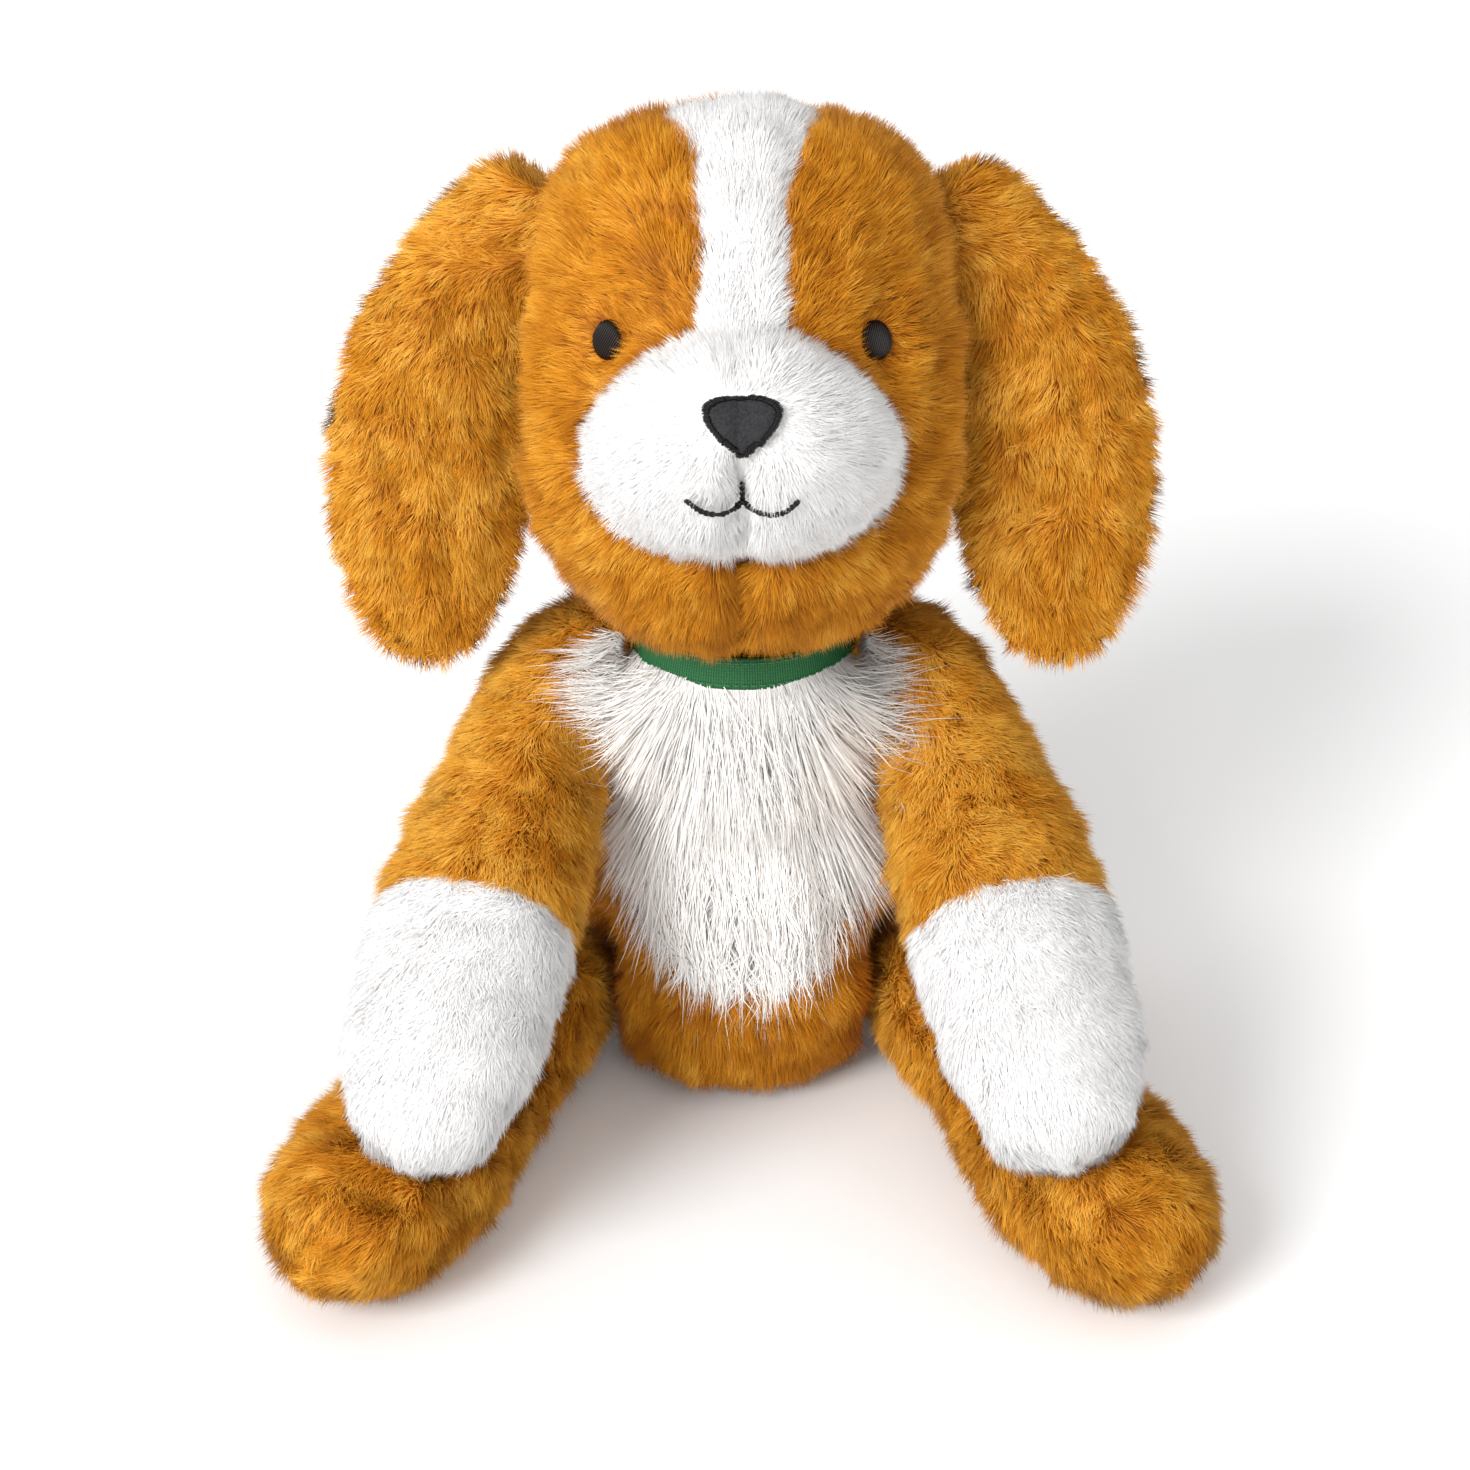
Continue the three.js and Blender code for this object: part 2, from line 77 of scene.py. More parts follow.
# The head's own upright frame, as the CAD model tips it
HEAD_MIDDLE = Vector((0, -8, 217)) * MM
HEAD_TILT = math.radians(23)
HEAD_TO_DOG = Matrix.Translation(HEAD_MIDDLE) @ Matrix.Rotation(-HEAD_TILT, 4, "X")
DOG_TO_HEAD = HEAD_TO_DOG.inverted()

# Pile
GOLD_LENGTH = 9.0 * MM
WHITE_LENGTH = 6.8 * MM
EAR_LENGTH_SHARE = 0.86  # of the gold pile's length
WHITE_LEAN = 8  # degrees more than the gold pile
WHITE_CALM = 0.6  # how wild the white pile is beside the gold
STRAND_WIDTH = 0.4 * MM
STRANDS_PER_MM2 = 4.0
CLUMP_SPACING = 3.6 * MM
BACKING = 0.9 * MM  # the cloth that the pile grows from
ROOM_REACH = 10 * MM  # how far off another body is looked for
PART_PAINTED_LIGHT = {"head": -0.1, "torso": -0.14, "ear": 0.12, "arm": 0.25, "leg": 0.05}  # painted light and shade: how much lighter or darker each part's whole pile is made, to stand in for how the light falls on it
WHITE_PANELS = {"blaze_panel", "muzzle_panel_left", "muzzle_panel_right", "paw_left", "paw_right"}

# Head and ears as they are filled and sewn
CROWN_RISE = 5.5 * MM
CHIN_RISE = 4.0 * MM
TEMPLE_FILL = 3.0 * MM
EYE_SINK = 4.2 * MM
MUZZLE_LOBE = (19 * MM, -14 * MM)  # the middle of the left one
MUZZLE_FILL = 4.0 * MM
MUZZLE_GROOVE = 6.5 * MM
EAR_MIDDLE = ((-79, -20, 22, 51, 61), (91, 92, 81, 60, 36))  # heights, and its middle line's x there
EAR_ROOT_PULL = 12.0 * MM
EAR_EDGE_PULL = 4.5 * MM
EAR_SHOULDER = 3.2 * MM
TAIL_ROOT_PULL = 11 * MM
PAW_SINK = 5.0 * MM
SEAM_DEPTH = 1.4 * MM
SEAM_WIDTH = 2.2 * MM

# Face, by x and z in the head's frame. The lines are in millimetres
EYE_PLACE = (36.5 * MM, 19 * MM)
EYE_SIZE = (4.4 * MM, 5.5 * MM)
FRONT = -20 * MM  # the face lies in front of this y
NOSE_OUTLINE = [
    (0, 5.7), (4.5, 5.5), (8.4, 4.4), (10.4, 2.0), (9.3, -1.8), (5.4, -6.6), (1.8, -9.0), (0, -9.3),
]
SMILE = [(0, -22.5), (3, -24), (7.5, -25.2), (11.5, -24), (15, -21)]
OTHER_SMILE = [(-x, z) for x, z in SMILE]
LIP = [(0, -11.5), (0, -17.5), (0, -22.5)]


# ------------------------------------------------------------------ stage, light and camera

CAMERA_TARGET = Vector((-2, -45, 126.6)) * MM
CAMERA_DISTANCE = 1.2
CAMERA_ELEVATION = math.radians(32)
FRAME_WIDTH = 426 * MM  # what the image shows at the target
SENSOR = 36  # millimetres
WHITE = (1, 1, 1, 1)


def make_camera():
    data = bpy.data.cameras.new("camera")
    data.sensor_width = SENSOR
    data.lens = SENSOR * CAMERA_DISTANCE / FRAME_WIDTH
    camera = bpy.data.objects.new("camera", data)
    towards = Vector((0, -math.cos(CAMERA_ELEVATION), math.sin(CAMERA_ELEVATION)))
    camera.location = CAMERA_TARGET + towards * CAMERA_DISTANCE
    camera.rotation_euler = (math.pi / 2 - CAMERA_ELEVATION, 0, 0)
    bpy.context.scene.collection.objects.link(camera)
    bpy.context.scene.camera = camera


def make_sun(name, towards, strength, softness):
    data = bpy.data.lights.new(name, "SUN")
    data.energy = strength
    data.angle = math.radians(softness)
    sun = bpy.data.objects.new(name, data)
    sun.rotation_euler = Vector(towards).to_track_quat("Z", "Y").to_euler()
    bpy.context.scene.collection.objects.link(sun)


def make_stage():
    bpy.ops.mesh.primitive_plane_add(size=30, location=(0, 0, 0))
    floor = bpy.context.object
    floor.name = "floor"
    floor.data.materials.append(plain_material("floor_paper", (0.86, 0.86, 0.86), 0.9))
    floor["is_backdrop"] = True
    world = bpy.data.worlds.new("studio")
    world.use_nodes = True
    background = world.node_tree.nodes["Background"]
    background.inputs["Color"].default_value = WHITE
    background.inputs["Strength"].default_value = 0.82
    bpy.context.scene.world = world
    make_sun("key_light", (-0.56, -0.70, 0.62), 2.95, 28)
    make_sun("fill_light", (0.15, -0.9, 0.4), 0.6, 60)
    bpy.context.scene.view_settings.view_transform = "Standard"
    bpy.context.scene.view_settings.look = "None"


# ------------------------------------------------------------------ materials

UV_NAME = "OFBake"  # the map of every furry piece
WEAVE = "weave"  # the ribbon's map, in millimetres along it and across it
WAVE_PERIOD = 0.314  # of Blender's wave texture at scale 1


def new_material(name, roughness, specular=0.5, sheen=0.0):
    """A material with only its Principled shader, and that material's tree and shader."""
    material = bpy.data.materials.new(name)
    material.use_nodes = True
    shader = material.node_tree.nodes["Principled BSDF"]
    shader.inputs["Roughness"].default_value = roughness
    shader.inputs["Specular IOR Level"].default_value = specular
    shader.inputs["Sheen Weight"].default_value = sheen
    return material, material.node_tree, shader


def plain_material(name, color, roughness, specular=0.5):
    material, _, shader = new_material(name, roughness, specular)
    shader.inputs["Base Color"].default_value = (*color, 1)
    return material


def map_of(tree, name):
    node = tree.nodes.new("ShaderNodeUVMap")
    node.uv_map = name
    return node.outputs["UV"]


def ramp(tree, source, stops):
    """A colour ramp of (place, colour) stops fed by a socket."""
    node = tree.nodes.new("ShaderNodeValToRGB")
    node.color_ramp.elements.remove(node.color_ramp.elements[1])
    for i, (place, color) in enumerate(stops):
        element = node.color_ramp.elements[0] if i == 0 else node.color_ramp.elements.new(place)
        element.position = place
        element.color = (*color, 1)
    tree.links.new(source, node.inputs["Fac"])
    return node.outputs["Color"]


def mixed(tree, factor, a, b, how="MIX"):
    node = tree.nodes.new("ShaderNodeMix")
    node.data_type = "RGBA"
    node.blend_type = how
    for socket, value in ((node.inputs["Factor"], factor), (node.inputs[6], a), (node.inputs[7], b)):
        if isinstance(value, (float, int)):
            socket.default_value = value
        elif isinstance(value, tuple):
            socket.default_value = (*value, 1)
        else:
            tree.links.new(value, socket)
    return node.outputs[2]


def pile_material(name, roots, tips, sheen):
    """Pile: its colour runs from dark roots to lighter tips, which paints in the shade deep in the pile,
    and each strand has a shade of its own. Both come from the strand's map: across it is the shade, up it
    is the way along the strand."""
    material, tree, shader = new_material(name, 0.62, 0.14, sheen)
    shader.inputs["Sheen Roughness"].default_value = 0.45
    split = tree.nodes.new("ShaderNodeSeparateXYZ")
    tree.links.new(map_of(tree, UV_NAME), split.inputs["Vector"])
    shade, way = split.outputs["X"], split.outputs["Y"]
    root = ramp(tree, shade, roots)
    tip = ramp(tree, shade, tips)
    # painted shade: the darker roots' colour is mixed in towards the root end of every strand
    rise = ramp(tree, way, [(0.0, (0, 0, 0)), (0.35, (0.35, 0.35, 0.35)), (0.9, (1, 1, 1))])
    tree.links.new(mixed(tree, rise, root, tip), shader.inputs["Base Color"])
    return material


def noise(tree, scale, detail, vector=None):
    node = tree.nodes.new("ShaderNodeTexNoise")
    node.inputs["Scale"].default_value = scale
    node.inputs["Detail"].default_value = detail
    if vector is None:
        vector = tree.nodes.new("ShaderNodeTexCoord").outputs["Object"]
    tree.links.new(vector, node.inputs["Vector"])
    return node.outputs["Fac"]


def bump(tree, shader, height, strength, distance):
    node = tree.nodes.new("ShaderNodeBump")
    node.inputs["Strength"].default_value = strength
    node.inputs["Distance"].default_value = distance
    tree.links.new(height, node.inputs["Height"])
    tree.links.new(node.outputs["Normal"], shader.inputs["Normal"])


def fibre_material(name, dark, light, scale, roughness=0.85, depth=0.2 * MM):
    """Matted fibres: a fine mottled colour with the same noise as bump."""
    material, tree, shader = new_material(name, roughness, sheen=0.05)
    height = noise(tree, scale, 5.0)
    color = ramp(tree, height, [(0.35, dark), (0.65, light)])
    tree.links.new(color, shader.inputs["Base Color"])
    bump(tree, shader, height, 0.6, depth)
    return material


def ribbon_material(name, dark, light):
    """Woven ribbon: fine ribs along and across it, at their spacing in millimetres."""
    material, tree, shader = new_material(name, 0.65, 0.3)
    place = map_of(tree, WEAVE)
    threads = []
    for direction, spacing in (("X", 0.75), ("Y", 0.9)):
        ribs = tree.nodes.new("ShaderNodeTexWave")
        ribs.bands_direction = direction
        ribs.inputs["Scale"].default_value = WAVE_PERIOD / spacing
        ribs.inputs["Distortion"].default_value = 1.2
        ribs.inputs["Detail"].default_value = 2.0
        tree.links.new(place, ribs.inputs["Vector"])
        threads.append(ribs.outputs["Color"])
    mottle = noise(tree, 1.3, 3.0, place)
    height = mixed(tree, 0.45, mixed(tree, 0.5, threads[0], threads[1], "MULTIPLY"), mottle)
    color = ramp(tree, height, [(0.2, dark), (0.7, light)])
    tree.links.new(color, shader.inputs["Base Color"])
    bump(tree, shader, height, 0.7, 0.15 * MM)
    return material


# The roots' colours are darker than the tips' as painted shade deep in the pile
GOLD_PILE = pile_material(
    "gold_pile",
    roots=[(0.0, (0.23, 0.062, 0.003)), (1.0, (0.50, 0.158, 0.006))],
    tips=[(0.0, (0.50, 0.165, 0.005)), (0.5, (0.79, 0.31, 0.013)), (1.0, (0.98, 0.53, 0.075))],
    sheen=0.03,
)
WHITE_PILE = pile_material(
    "white_pile",
    roots=[(0.0, (0.90, 0.88, 0.86)), (1.0, (0.95, 0.94, 0.93))],
    tips=[(0.0, (0.93, 0.92, 0.91)), (1.0, (0.98, 0.975, 0.97))],
    sheen=0.05,
)
LONG_PILE = pile_material(
    "long_pile",
    roots=[(0.0, (0.60, 0.52, 0.45)), (0.3, (0.88, 0.84, 0.80)), (1.0, (0.96, 0.94, 0.91))],
    tips=[(0.0, (0.58, 0.50, 0.43)), (0.2, (0.92, 0.89, 0.85)), (1.0, (0.99, 0.975, 0.95))],
    sheen=0.05,
)
RIBBON = ribbon_material("ribbon", (0.002, 0.055, 0.012), (0.024, 0.15, 0.05))
BLACK_THREAD = plain_material("black_thread", (0.007, 0.006, 0.007), 0.45, 0.25)
BROWN_THREAD = plain_material("brown_thread", (0.008, 0.005, 0.004), 0.42, 0.3)
GREEN_THREAD = plain_material("green_thread", (0.03, 0.16, 0.06), 0.55)
WHITE_THREAD = plain_material("white_thread", (0.85, 0.84, 0.81), 0.55)
BRUSHED_CLOTH = fibre_material("brushed_cloth", (0.004, 0.0035, 0.0045), (0.020, 0.0185, 0.021), 1300.0)
PELLET_CLOTH = fibre_material("pellet_cloth", (0.62, 0.58, 0.50), (0.78, 0.74, 0.66), 700.0)
LABEL_SATIN = fibre_material("label_satin", (0.86, 0.86, 0.84), (0.93, 0.93, 0.91), 1200.0, 0.45, 0.05 * MM)
FIBRE = fibre_material("fibre", (0.70, 0.68, 0.64), (0.88, 0.87, 0.84), 260.0)


# ------------------------------------------------------------------ numbers on points

def unit(v):
    return v / np.maximum(np.linalg.norm(v, axis=-1, keepdims=True), 1e-12)


def across(v, n):
    """The part of v that lies in the surface with normal n, at length 1."""
    return unit(v - n * np.sum(v * n, axis=-1, keepdims=True))


def to_frame(points, matrix):
    m = np.array(matrix)
    return points @ m[:3, :3].T + m[:3, 3]


def turned_to_dog(directions):
    """Directions in the head's frame, in the dog's."""
    return directions @ np.array(HEAD_TO_DOG)[:3, :3].T


FIELD_WAVES = 14


class Field:
    """A smooth random number for every point in space, between about -1 and 1."""

    def __init__(self, size, seed):
        rng = np.random.default_rng(seed)
        directions = unit(rng.normal(size=(FIELD_WAVES, 3)))
        self.waves = directions * rng.uniform(0.6, 1.6, (FIELD_WAVES, 1)) * 2 * math.pi / size
        self.phase = rng.uniform(0, 2 * math.pi, FIELD_WAVES)

    def __call__(self, points):
        return np.sin(points @ self.waves.T + self.phase).sum(axis=1) / math.sqrt(len(self.phase))


def link(name, mesh):
    obj = bpy.data.objects.new(name, mesh)
    bpy.context.scene.collection.objects.link(obj)
    return obj


def mesh_from(name, points, triangles):
    """A mesh of triangles straight from arrays."""
    mesh = bpy.data.meshes.new(name)
    mesh.vertices.add(len(points))
    mesh.vertices.foreach_set("co", np.ascontiguousarray(points, np.float32).ravel())
    mesh.loops.add(triangles.size)
    mesh.loops.foreach_set("vertex_index", np.ascontiguousarray(triangles, np.int32).ravel())
    mesh.polygons.add(len(triangles))
    mesh.polygons.foreach_set("loop_start", np.arange(0, triangles.size, 3, dtype=np.int32))
    mesh.update(calc_edges=True)
    mesh.validate()
    return mesh


def merged(parts):
    """One set of arrays out of several: points, triangles, and whatever each point has besides."""
    points, triangles, *others = zip(*parts)
    starts = np.cumsum([0] + [len(part) for part in points])
    triangles = [np.asarray(part) + start for part, start in zip(triangles, starts)]
    return [np.vstack(column) for column in (points, triangles, *others)]


def grid(rows, columns, start=0, closed=True):
    """The four corners of each cell of a grid of points: two along a row, then the two behind them."""
    cells = []
    for i in range(rows - 1):
        for k in range(columns if closed else columns - 1):
            a, b = start + i * columns + k, start + i * columns + (k + 1) % columns
            cells.append((a, b, b + columns, a + columns))
    return cells


def solid_piece(name, parts, material):
    """A smooth piece out of some (points, triangles) parts."""
    mesh = mesh_from(name, *merged(parts))
    mesh.polygons.foreach_set("use_smooth", np.ones(len(mesh.polygons), bool))
    mesh.materials.append(material)
    return link(name, mesh)


def points_of(mesh):
    co = np.empty(len(mesh.vertices) * 3, np.float32)
    mesh.vertices.foreach_get("co", co)
    return co.reshape(-1, 3).astype(float)


def triangles_of(mesh):
    mesh.calc_loop_triangles()
    tri = np.empty(len(mesh.loop_triangles) * 3, np.int32)
    mesh.loop_triangles.foreach_get("vertices", tri)
    return tri.reshape(-1, 3)


def corner_normals(points, triangles):
    """Smooth normals at the points, weighted by area."""
    a, b, c = (points[triangles[:, i]] for i in range(3))
    face = np.cross(b - a, c - a)
    normal = np.zeros_like(points)
    for i in range(3):
        for k in range(3):
            normal[:, k] += np.bincount(triangles[:, i], face[:, k], len(points))
    return unit(normal)


PULL_IN = 0.55
PUSH_OUT = -0.57


def relaxed(points, triangles, rounds):
    """Smooths the points without shrinking the shape: each round pulls in, then pushes back out."""
    edges = np.vstack([triangles[:, [0, 1]], triangles[:, [1, 2]], triangles[:, [2, 0]]])
    count = np.bincount(edges[:, 0], minlength=len(points))[:, None]
    for i in range(2 * rounds):
        mean = np.empty_like(points)
        for k in range(3):
            mean[:, k] = np.bincount(edges[:, 0], points[edges[:, 1], k], len(points))
        mean /= np.maximum(count, 1)
        points = points + (mean - points) * (PULL_IN if i % 2 == 0 else PUSH_OUT)
    return points


def distance_to_line(points, line):
    """How far each flat point is from a polyline."""
    line = np.array(line, float)
    best = np.full(len(points), np.inf)
    for a, b in zip(line[:-1], line[1:]):
        along = np.clip((points - a) @ (b - a) / ((b - a) @ (b - a)), 0, 1)
        best = np.minimum(best, np.linalg.norm(points - a - along[:, None] * (b - a), axis=1))
    return best


def inside_outline(points, outline):
    """Whether each flat point is inside a closed outline."""
    odd = np.zeros(len(points), bool)
    for (ax, ay), (bx, by) in zip(outline, outline[1:] + outline[:1]):
        spans = (ay > points[:, 1]) != (by > points[:, 1])
        with np.errstate(divide="ignore", invalid="ignore"):
            x = (bx - ax) * (points[:, 1] - ay) / (by - ay) + ax
        odd ^= spans & (points[:, 0] < x)
    return odd


def ease(value, start, end):
    """0 up to start and 1 from end, easing between them."""
    t = np.clip((value - start) / (end - start), 0, 1)
    return t * t * (3 - 2 * t)


def hump(value, width):
    """1 at nothing, falling away over the width on both sides."""
    return np.exp(-((value / width) ** 2))


def mirrored(half):
    """A whole closed outline from its half at x >= 0, which starts and ends on the middle line."""
    return list(half) + [(-x, y) for x, y in half[-2:0:-1]]


# ------------------------------------------------------------------ skins: the backing cloth of each cover

class Skin:
    """The surface that a part's pile grows from."""

    def __init__(self, name, body, panels, sources, voxel, inset=0.0):
        self.name, self.body, self.panels = name, body, panels
        self.points, self.triangles = shell_of(sources, voxel * MM)
        if inset:
            self.points = relaxed(self.points, self.triangles, 3)
            self.points = self.points - corner_normals(self.points, self.triangles) * inset * MM
        self.points = relaxed(self.points, self.triangles, 4)
        self.measure()

    def measure(self):
        """Finds the normals, and how far each point is from each panel of the CAD model."""
        self.normals = corner_normals(self.points, self.triangles)
        columns = []
        for panel in self.panels:
            tree = NODE_TREES[panel]
            columns.append([tree.find_nearest(Vector(p))[3] for p in self.points])
        self.distances = np.array(columns).T
        self.from_seam = np.full(len(self.points), 1.0)
        if len(self.panels) > 1:
            nearest, second = np.sort(self.distances, axis=1).T[:2]
            self.from_seam = second - nearest

    def faces_of(self, panel):
        """Which of the triangles belong to a panel."""
        nearest = np.argmin(self.distances[self.triangles].mean(axis=1), axis=1)
        return nearest == self.panels.index(panel)

    def groove_seams(self, depth, width):
        """Pulls the cloth in along its seams."""
        pull = depth * hump(self.from_seam, width)
        self.points = self.points - self.normals * pull[:, None]
        self.normals = corner_normals(self.points, self.triangles)


def tree_of(points, triangles):
    return BVHTree.FromPolygons([Vector(p) for p in points], [tuple(map(int, t)) for t in triangles])


NODE_TREES = {
    name: tree_of(points_of(node.data), triangles_of(node.data)) for name, node in NODES.items()
}


def evaluated(obj):
    """A mesh of the object as its modifiers leave it. The object is then deleted."""
    mesh = bpy.data.meshes.new_from_object(obj.evaluated_get(bpy.context.evaluated_depsgraph_get()))
    bpy.data.objects.remove(obj)
    return mesh


def shell_of(sources, voxel):
    """The outer surface of some CAD nodes together, remeshed evenly."""
    builder = bmesh.new()
    for source in sources:
        builder.from_mesh(NODES[source].data)
    mesh = bpy.data.meshes.new("shell")
    builder.to_mesh(mesh)
    builder.free()
    obj = link("shell", mesh)
    remesh = obj.modifiers.new("remesh", "REMESH")
    remesh.mode = "VOXEL"
    remesh.voxel_size = voxel
    even = evaluated(obj)
    points, triangles = points_of(even), triangles_of(even)
    bpy.data.meshes.remove(even)
    return largest_piece(points, triangles)


def largest_piece(points, triangles):
    """Keeps the connected piece with the largest span."""
    label = np.arange(len(points))
    while True:
        lowest = label[triangles].min(axis=1)
        new = label.copy()
        for i in range(3):
            np.minimum.at(new, triangles[:, i], lowest)
        new = new[new]
        if (new == label).all():
            break
        label = new
    sizes = {k: np.ptp(points[label == k], axis=0).sum() for k in np.unique(label)}
    keep = max(sizes, key=sizes.get)
    chosen = triangles[label[triangles[:, 0]] == keep]
    used, renumbered = np.unique(chosen, return_inverse=True)
    return points[used], renumbered.reshape(-1, 3)


PLUMP_FRAMES = 14
PLUMP_LIMIT = 2.5 * MM  # how far the cloth may move
SEAM_REACH = 2.5 * MM  # how far from a seam the cloth is held
HOLD = 0.12  # how much it is held everywhere


def plump(skins):
    """Fills every cover with pressure in one short cloth run, with the cloth held at its seams."""
    points, triangles = merged([(skin.points, skin.triangles) for skin in skins])
    obj = link("filling", mesh_from("filling", points, triangles))
    held = obj.vertex_groups.new(name="held")
    weights = np.concatenate([hump(skin.from_seam, SEAM_REACH) for skin in skins])
    for index, weight in enumerate(np.clip(HOLD + weights, 0, 1)):
        held.add([index], float(weight), "REPLACE")
    cloth = obj.modifiers.new("cloth", "CLOTH")
    cloth.settings.quality = 5
    cloth.settings.mass = 0.12
    cloth.settings.bending_stiffness = 0.6
    cloth.settings.shrink_min = -0.05
    cloth.settings.use_pressure = True
    cloth.settings.uniform_pressure_force = 4.0
    cloth.settings.vertex_group_mass = "held"
    cloth.settings.effector_weights.gravity = 0.0
    cloth.collision_settings.use_collision = False
    cloth.point_cache.frame_start = 1
    cloth.point_cache.frame_end = PLUMP_FRAMES
    for number in range(1, PLUMP_FRAMES + 1):
        bpy.context.scene.frame_set(number)
    moved = points_of(evaluated(obj)) - points
    bpy.context.scene.frame_set(1)
    reach = np.linalg.norm(moved, axis=1, keepdims=True)
    moved *= np.minimum(1, PLUMP_LIMIT / np.maximum(reach, 1e-9))
    ends = np.cumsum([len(skin.points) for skin in skins])
    for skin, shift in zip(skins, np.split(moved, ends[:-1])):
        skin.points = relaxed(skin.points + shift, skin.triangles, 1)
        skin.measure()


def shape_face(head):
    """Sinks the eyes, parts the muzzle into its two lobes, and fills the crown, temples and chin."""
    local = to_frame(head.points, DOG_TO_HEAD)
    x, y, z = local.T
    front = y < FRONT
    for _, sign in SIDES:
        away = np.hypot(x - sign * EYE_PLACE[0], z - EYE_PLACE[1])
        local[:, 1] += EYE_SINK * hump(away, 8.5 * MM) * front
    # The groove below the nose, and the fullness of the lobe on each side of it
    below_nose = ease(-z, 6 * MM, 14 * MM) * front
    local[:, 1] += below_nose * MUZZLE_GROOVE * hump(x, 4.0 * MM)
    for _, sign in SIDES:
        lobe = hump(x - sign * MUZZLE_LOBE[0], 14 * MM) * hump(z - MUZZLE_LOBE[1], 13 * MM)
        local[:, 1] -= lobe * MUZZLE_FILL * front
    # A higher crown, fuller temples over the ears, and a shorter chin
    local[:, 2] += CROWN_RISE * hump(x, 30 * MM) * ease(z, 45 * MM, 85 * MM)
    temple = hump(z - 62 * MM, 18 * MM) * ease(np.abs(x), 22 * MM, 44 * MM)
    local[:, 0] += np.sign(x) * TEMPLE_FILL * temple
    local[:, 2] += 0.7 * TEMPLE_FILL * temple
    local[:, 2] += CHIN_RISE * ease(-z, 28 * MM, 52 * MM)
    head.points = to_frame(local, HEAD_TO_DOG)
    head.normals = corner_normals(head.points, head.triangles)


# ------------------------------------------------------------------ pile

class Worley:
    """Clump centres: one at a random place in every cell of a grid that fills space."""

    def __init__(self, size, seed):
        self.size, self.seed = size, seed

    def _random(self, cells):
        """Three numbers from 0 to 1 for each cell."""
        h = cells.astype(np.uint32) + np.uint32(32768)
        mix = h[:, 0] * np.uint32(73856093) ^ h[:, 1] * np.uint32(19349663) ^ h[:, 2] * np.uint32(83492791)
        mix = mix ^ np.uint32(self.seed * 2654435 + 97)
        out = []
        for _ in range(3):
            mix = (mix ^ (mix >> np.uint32(15))) * np.uint32(2246822519)
            mix = (mix ^ (mix >> np.uint32(13))) * np.uint32(3266489917)
            mix = mix ^ (mix >> np.uint32(16))
            out.append(mix.astype(float) / 2.0**32)
        return np.stack(out, axis=1)

    def __call__(self, points):
        """The nearest centre to each point, and a random number that belongs to it."""
        cells = np.floor(points / self.size).astype(np.int64)
        best = np.full(len(points), np.inf)
        centre = np.zeros_like(points)
        number = np.zeros(len(points))
        for dx in (-1, 0, 1):
            for dy in (-1, 0, 1):
                for dz in (-1, 0, 1):
                    near = cells + (dx, dy, dz)
                    r = self._random(near)
                    place = (near + r) * self.size
                    gap = np.linalg.norm(place - points, axis=1)
                    closer = gap < best
                    best[closer] = gap[closer]
                    centre[closer] = place[closer]
                    number[closer] = (r[closer, 0] * 7.31 + r[closer, 1] * 3.17) % 1.0
        return centre, number


def scatter(skin, per_mm2, rng):
    """Random roots on the skin, as a function that turns values at its points into values at the roots."""
    a, b, c = (skin.points[skin.triangles[:, i]] for i in range(3))
    area = np.linalg.norm(np.cross(b - a, c - a), axis=1) / 2
    number = int(area.sum() / MM**2 * per_mm2)
    face = rng.choice(len(area), number, p=area / area.sum())
    u, v = rng.random(number), rng.random(number)
    flip = u + v > 1
    u[flip], v[flip] = 1 - u[flip], 1 - v[flip]
    corners, weights = skin.triangles[face], np.stack([1 - u - v, u, v], axis=1)

    def at_roots(values):
        picked = values[corners]
        return (picked * weights.reshape(weights.shape + (1,) * (picked.ndim - 2))).sum(axis=1)

    return at_roots


def clearance(skin, others, reach):
    """How far each point of the skin is from the CAD nodes of other bodies, up to reach."""
    out = np.full(len(skin.points), reach)
    for i, point in enumerate(skin.points):
        for tree in others:
            hit = tree.find_nearest(Vector(point), reach)
            if hit[0] is not None:
                out[i] = min(out[i], hit[3])
    return out


MAP_ENDS = (0.03, 0.97)  # the ends of the pile's map that are used
SHADE_STEP = 0.02  # from one side of a strand to the next
SHADE_BY_CLUMP = 0.26
SHADE_BY_BUNCH = 0.15  # of clumps
SHADE_BY_PLACE = 0.13
SHADE_BY_CHANCE = 0.16
BUNCH_SPACING = 2.6 * CLUMP_SPACING
CLUMPING = 0.5  # how far the tips are drawn to their clump
BUNCHING = 0.17
TANGLE = 0.36  # how far the pile's flow wanders
ROOT_DEPTH = 0.3 * MM  # of a strand, in its backing
FLOOR_GAP = (0.3 * MM, 0.4 * MM)  # what roots and tips keep above the floor


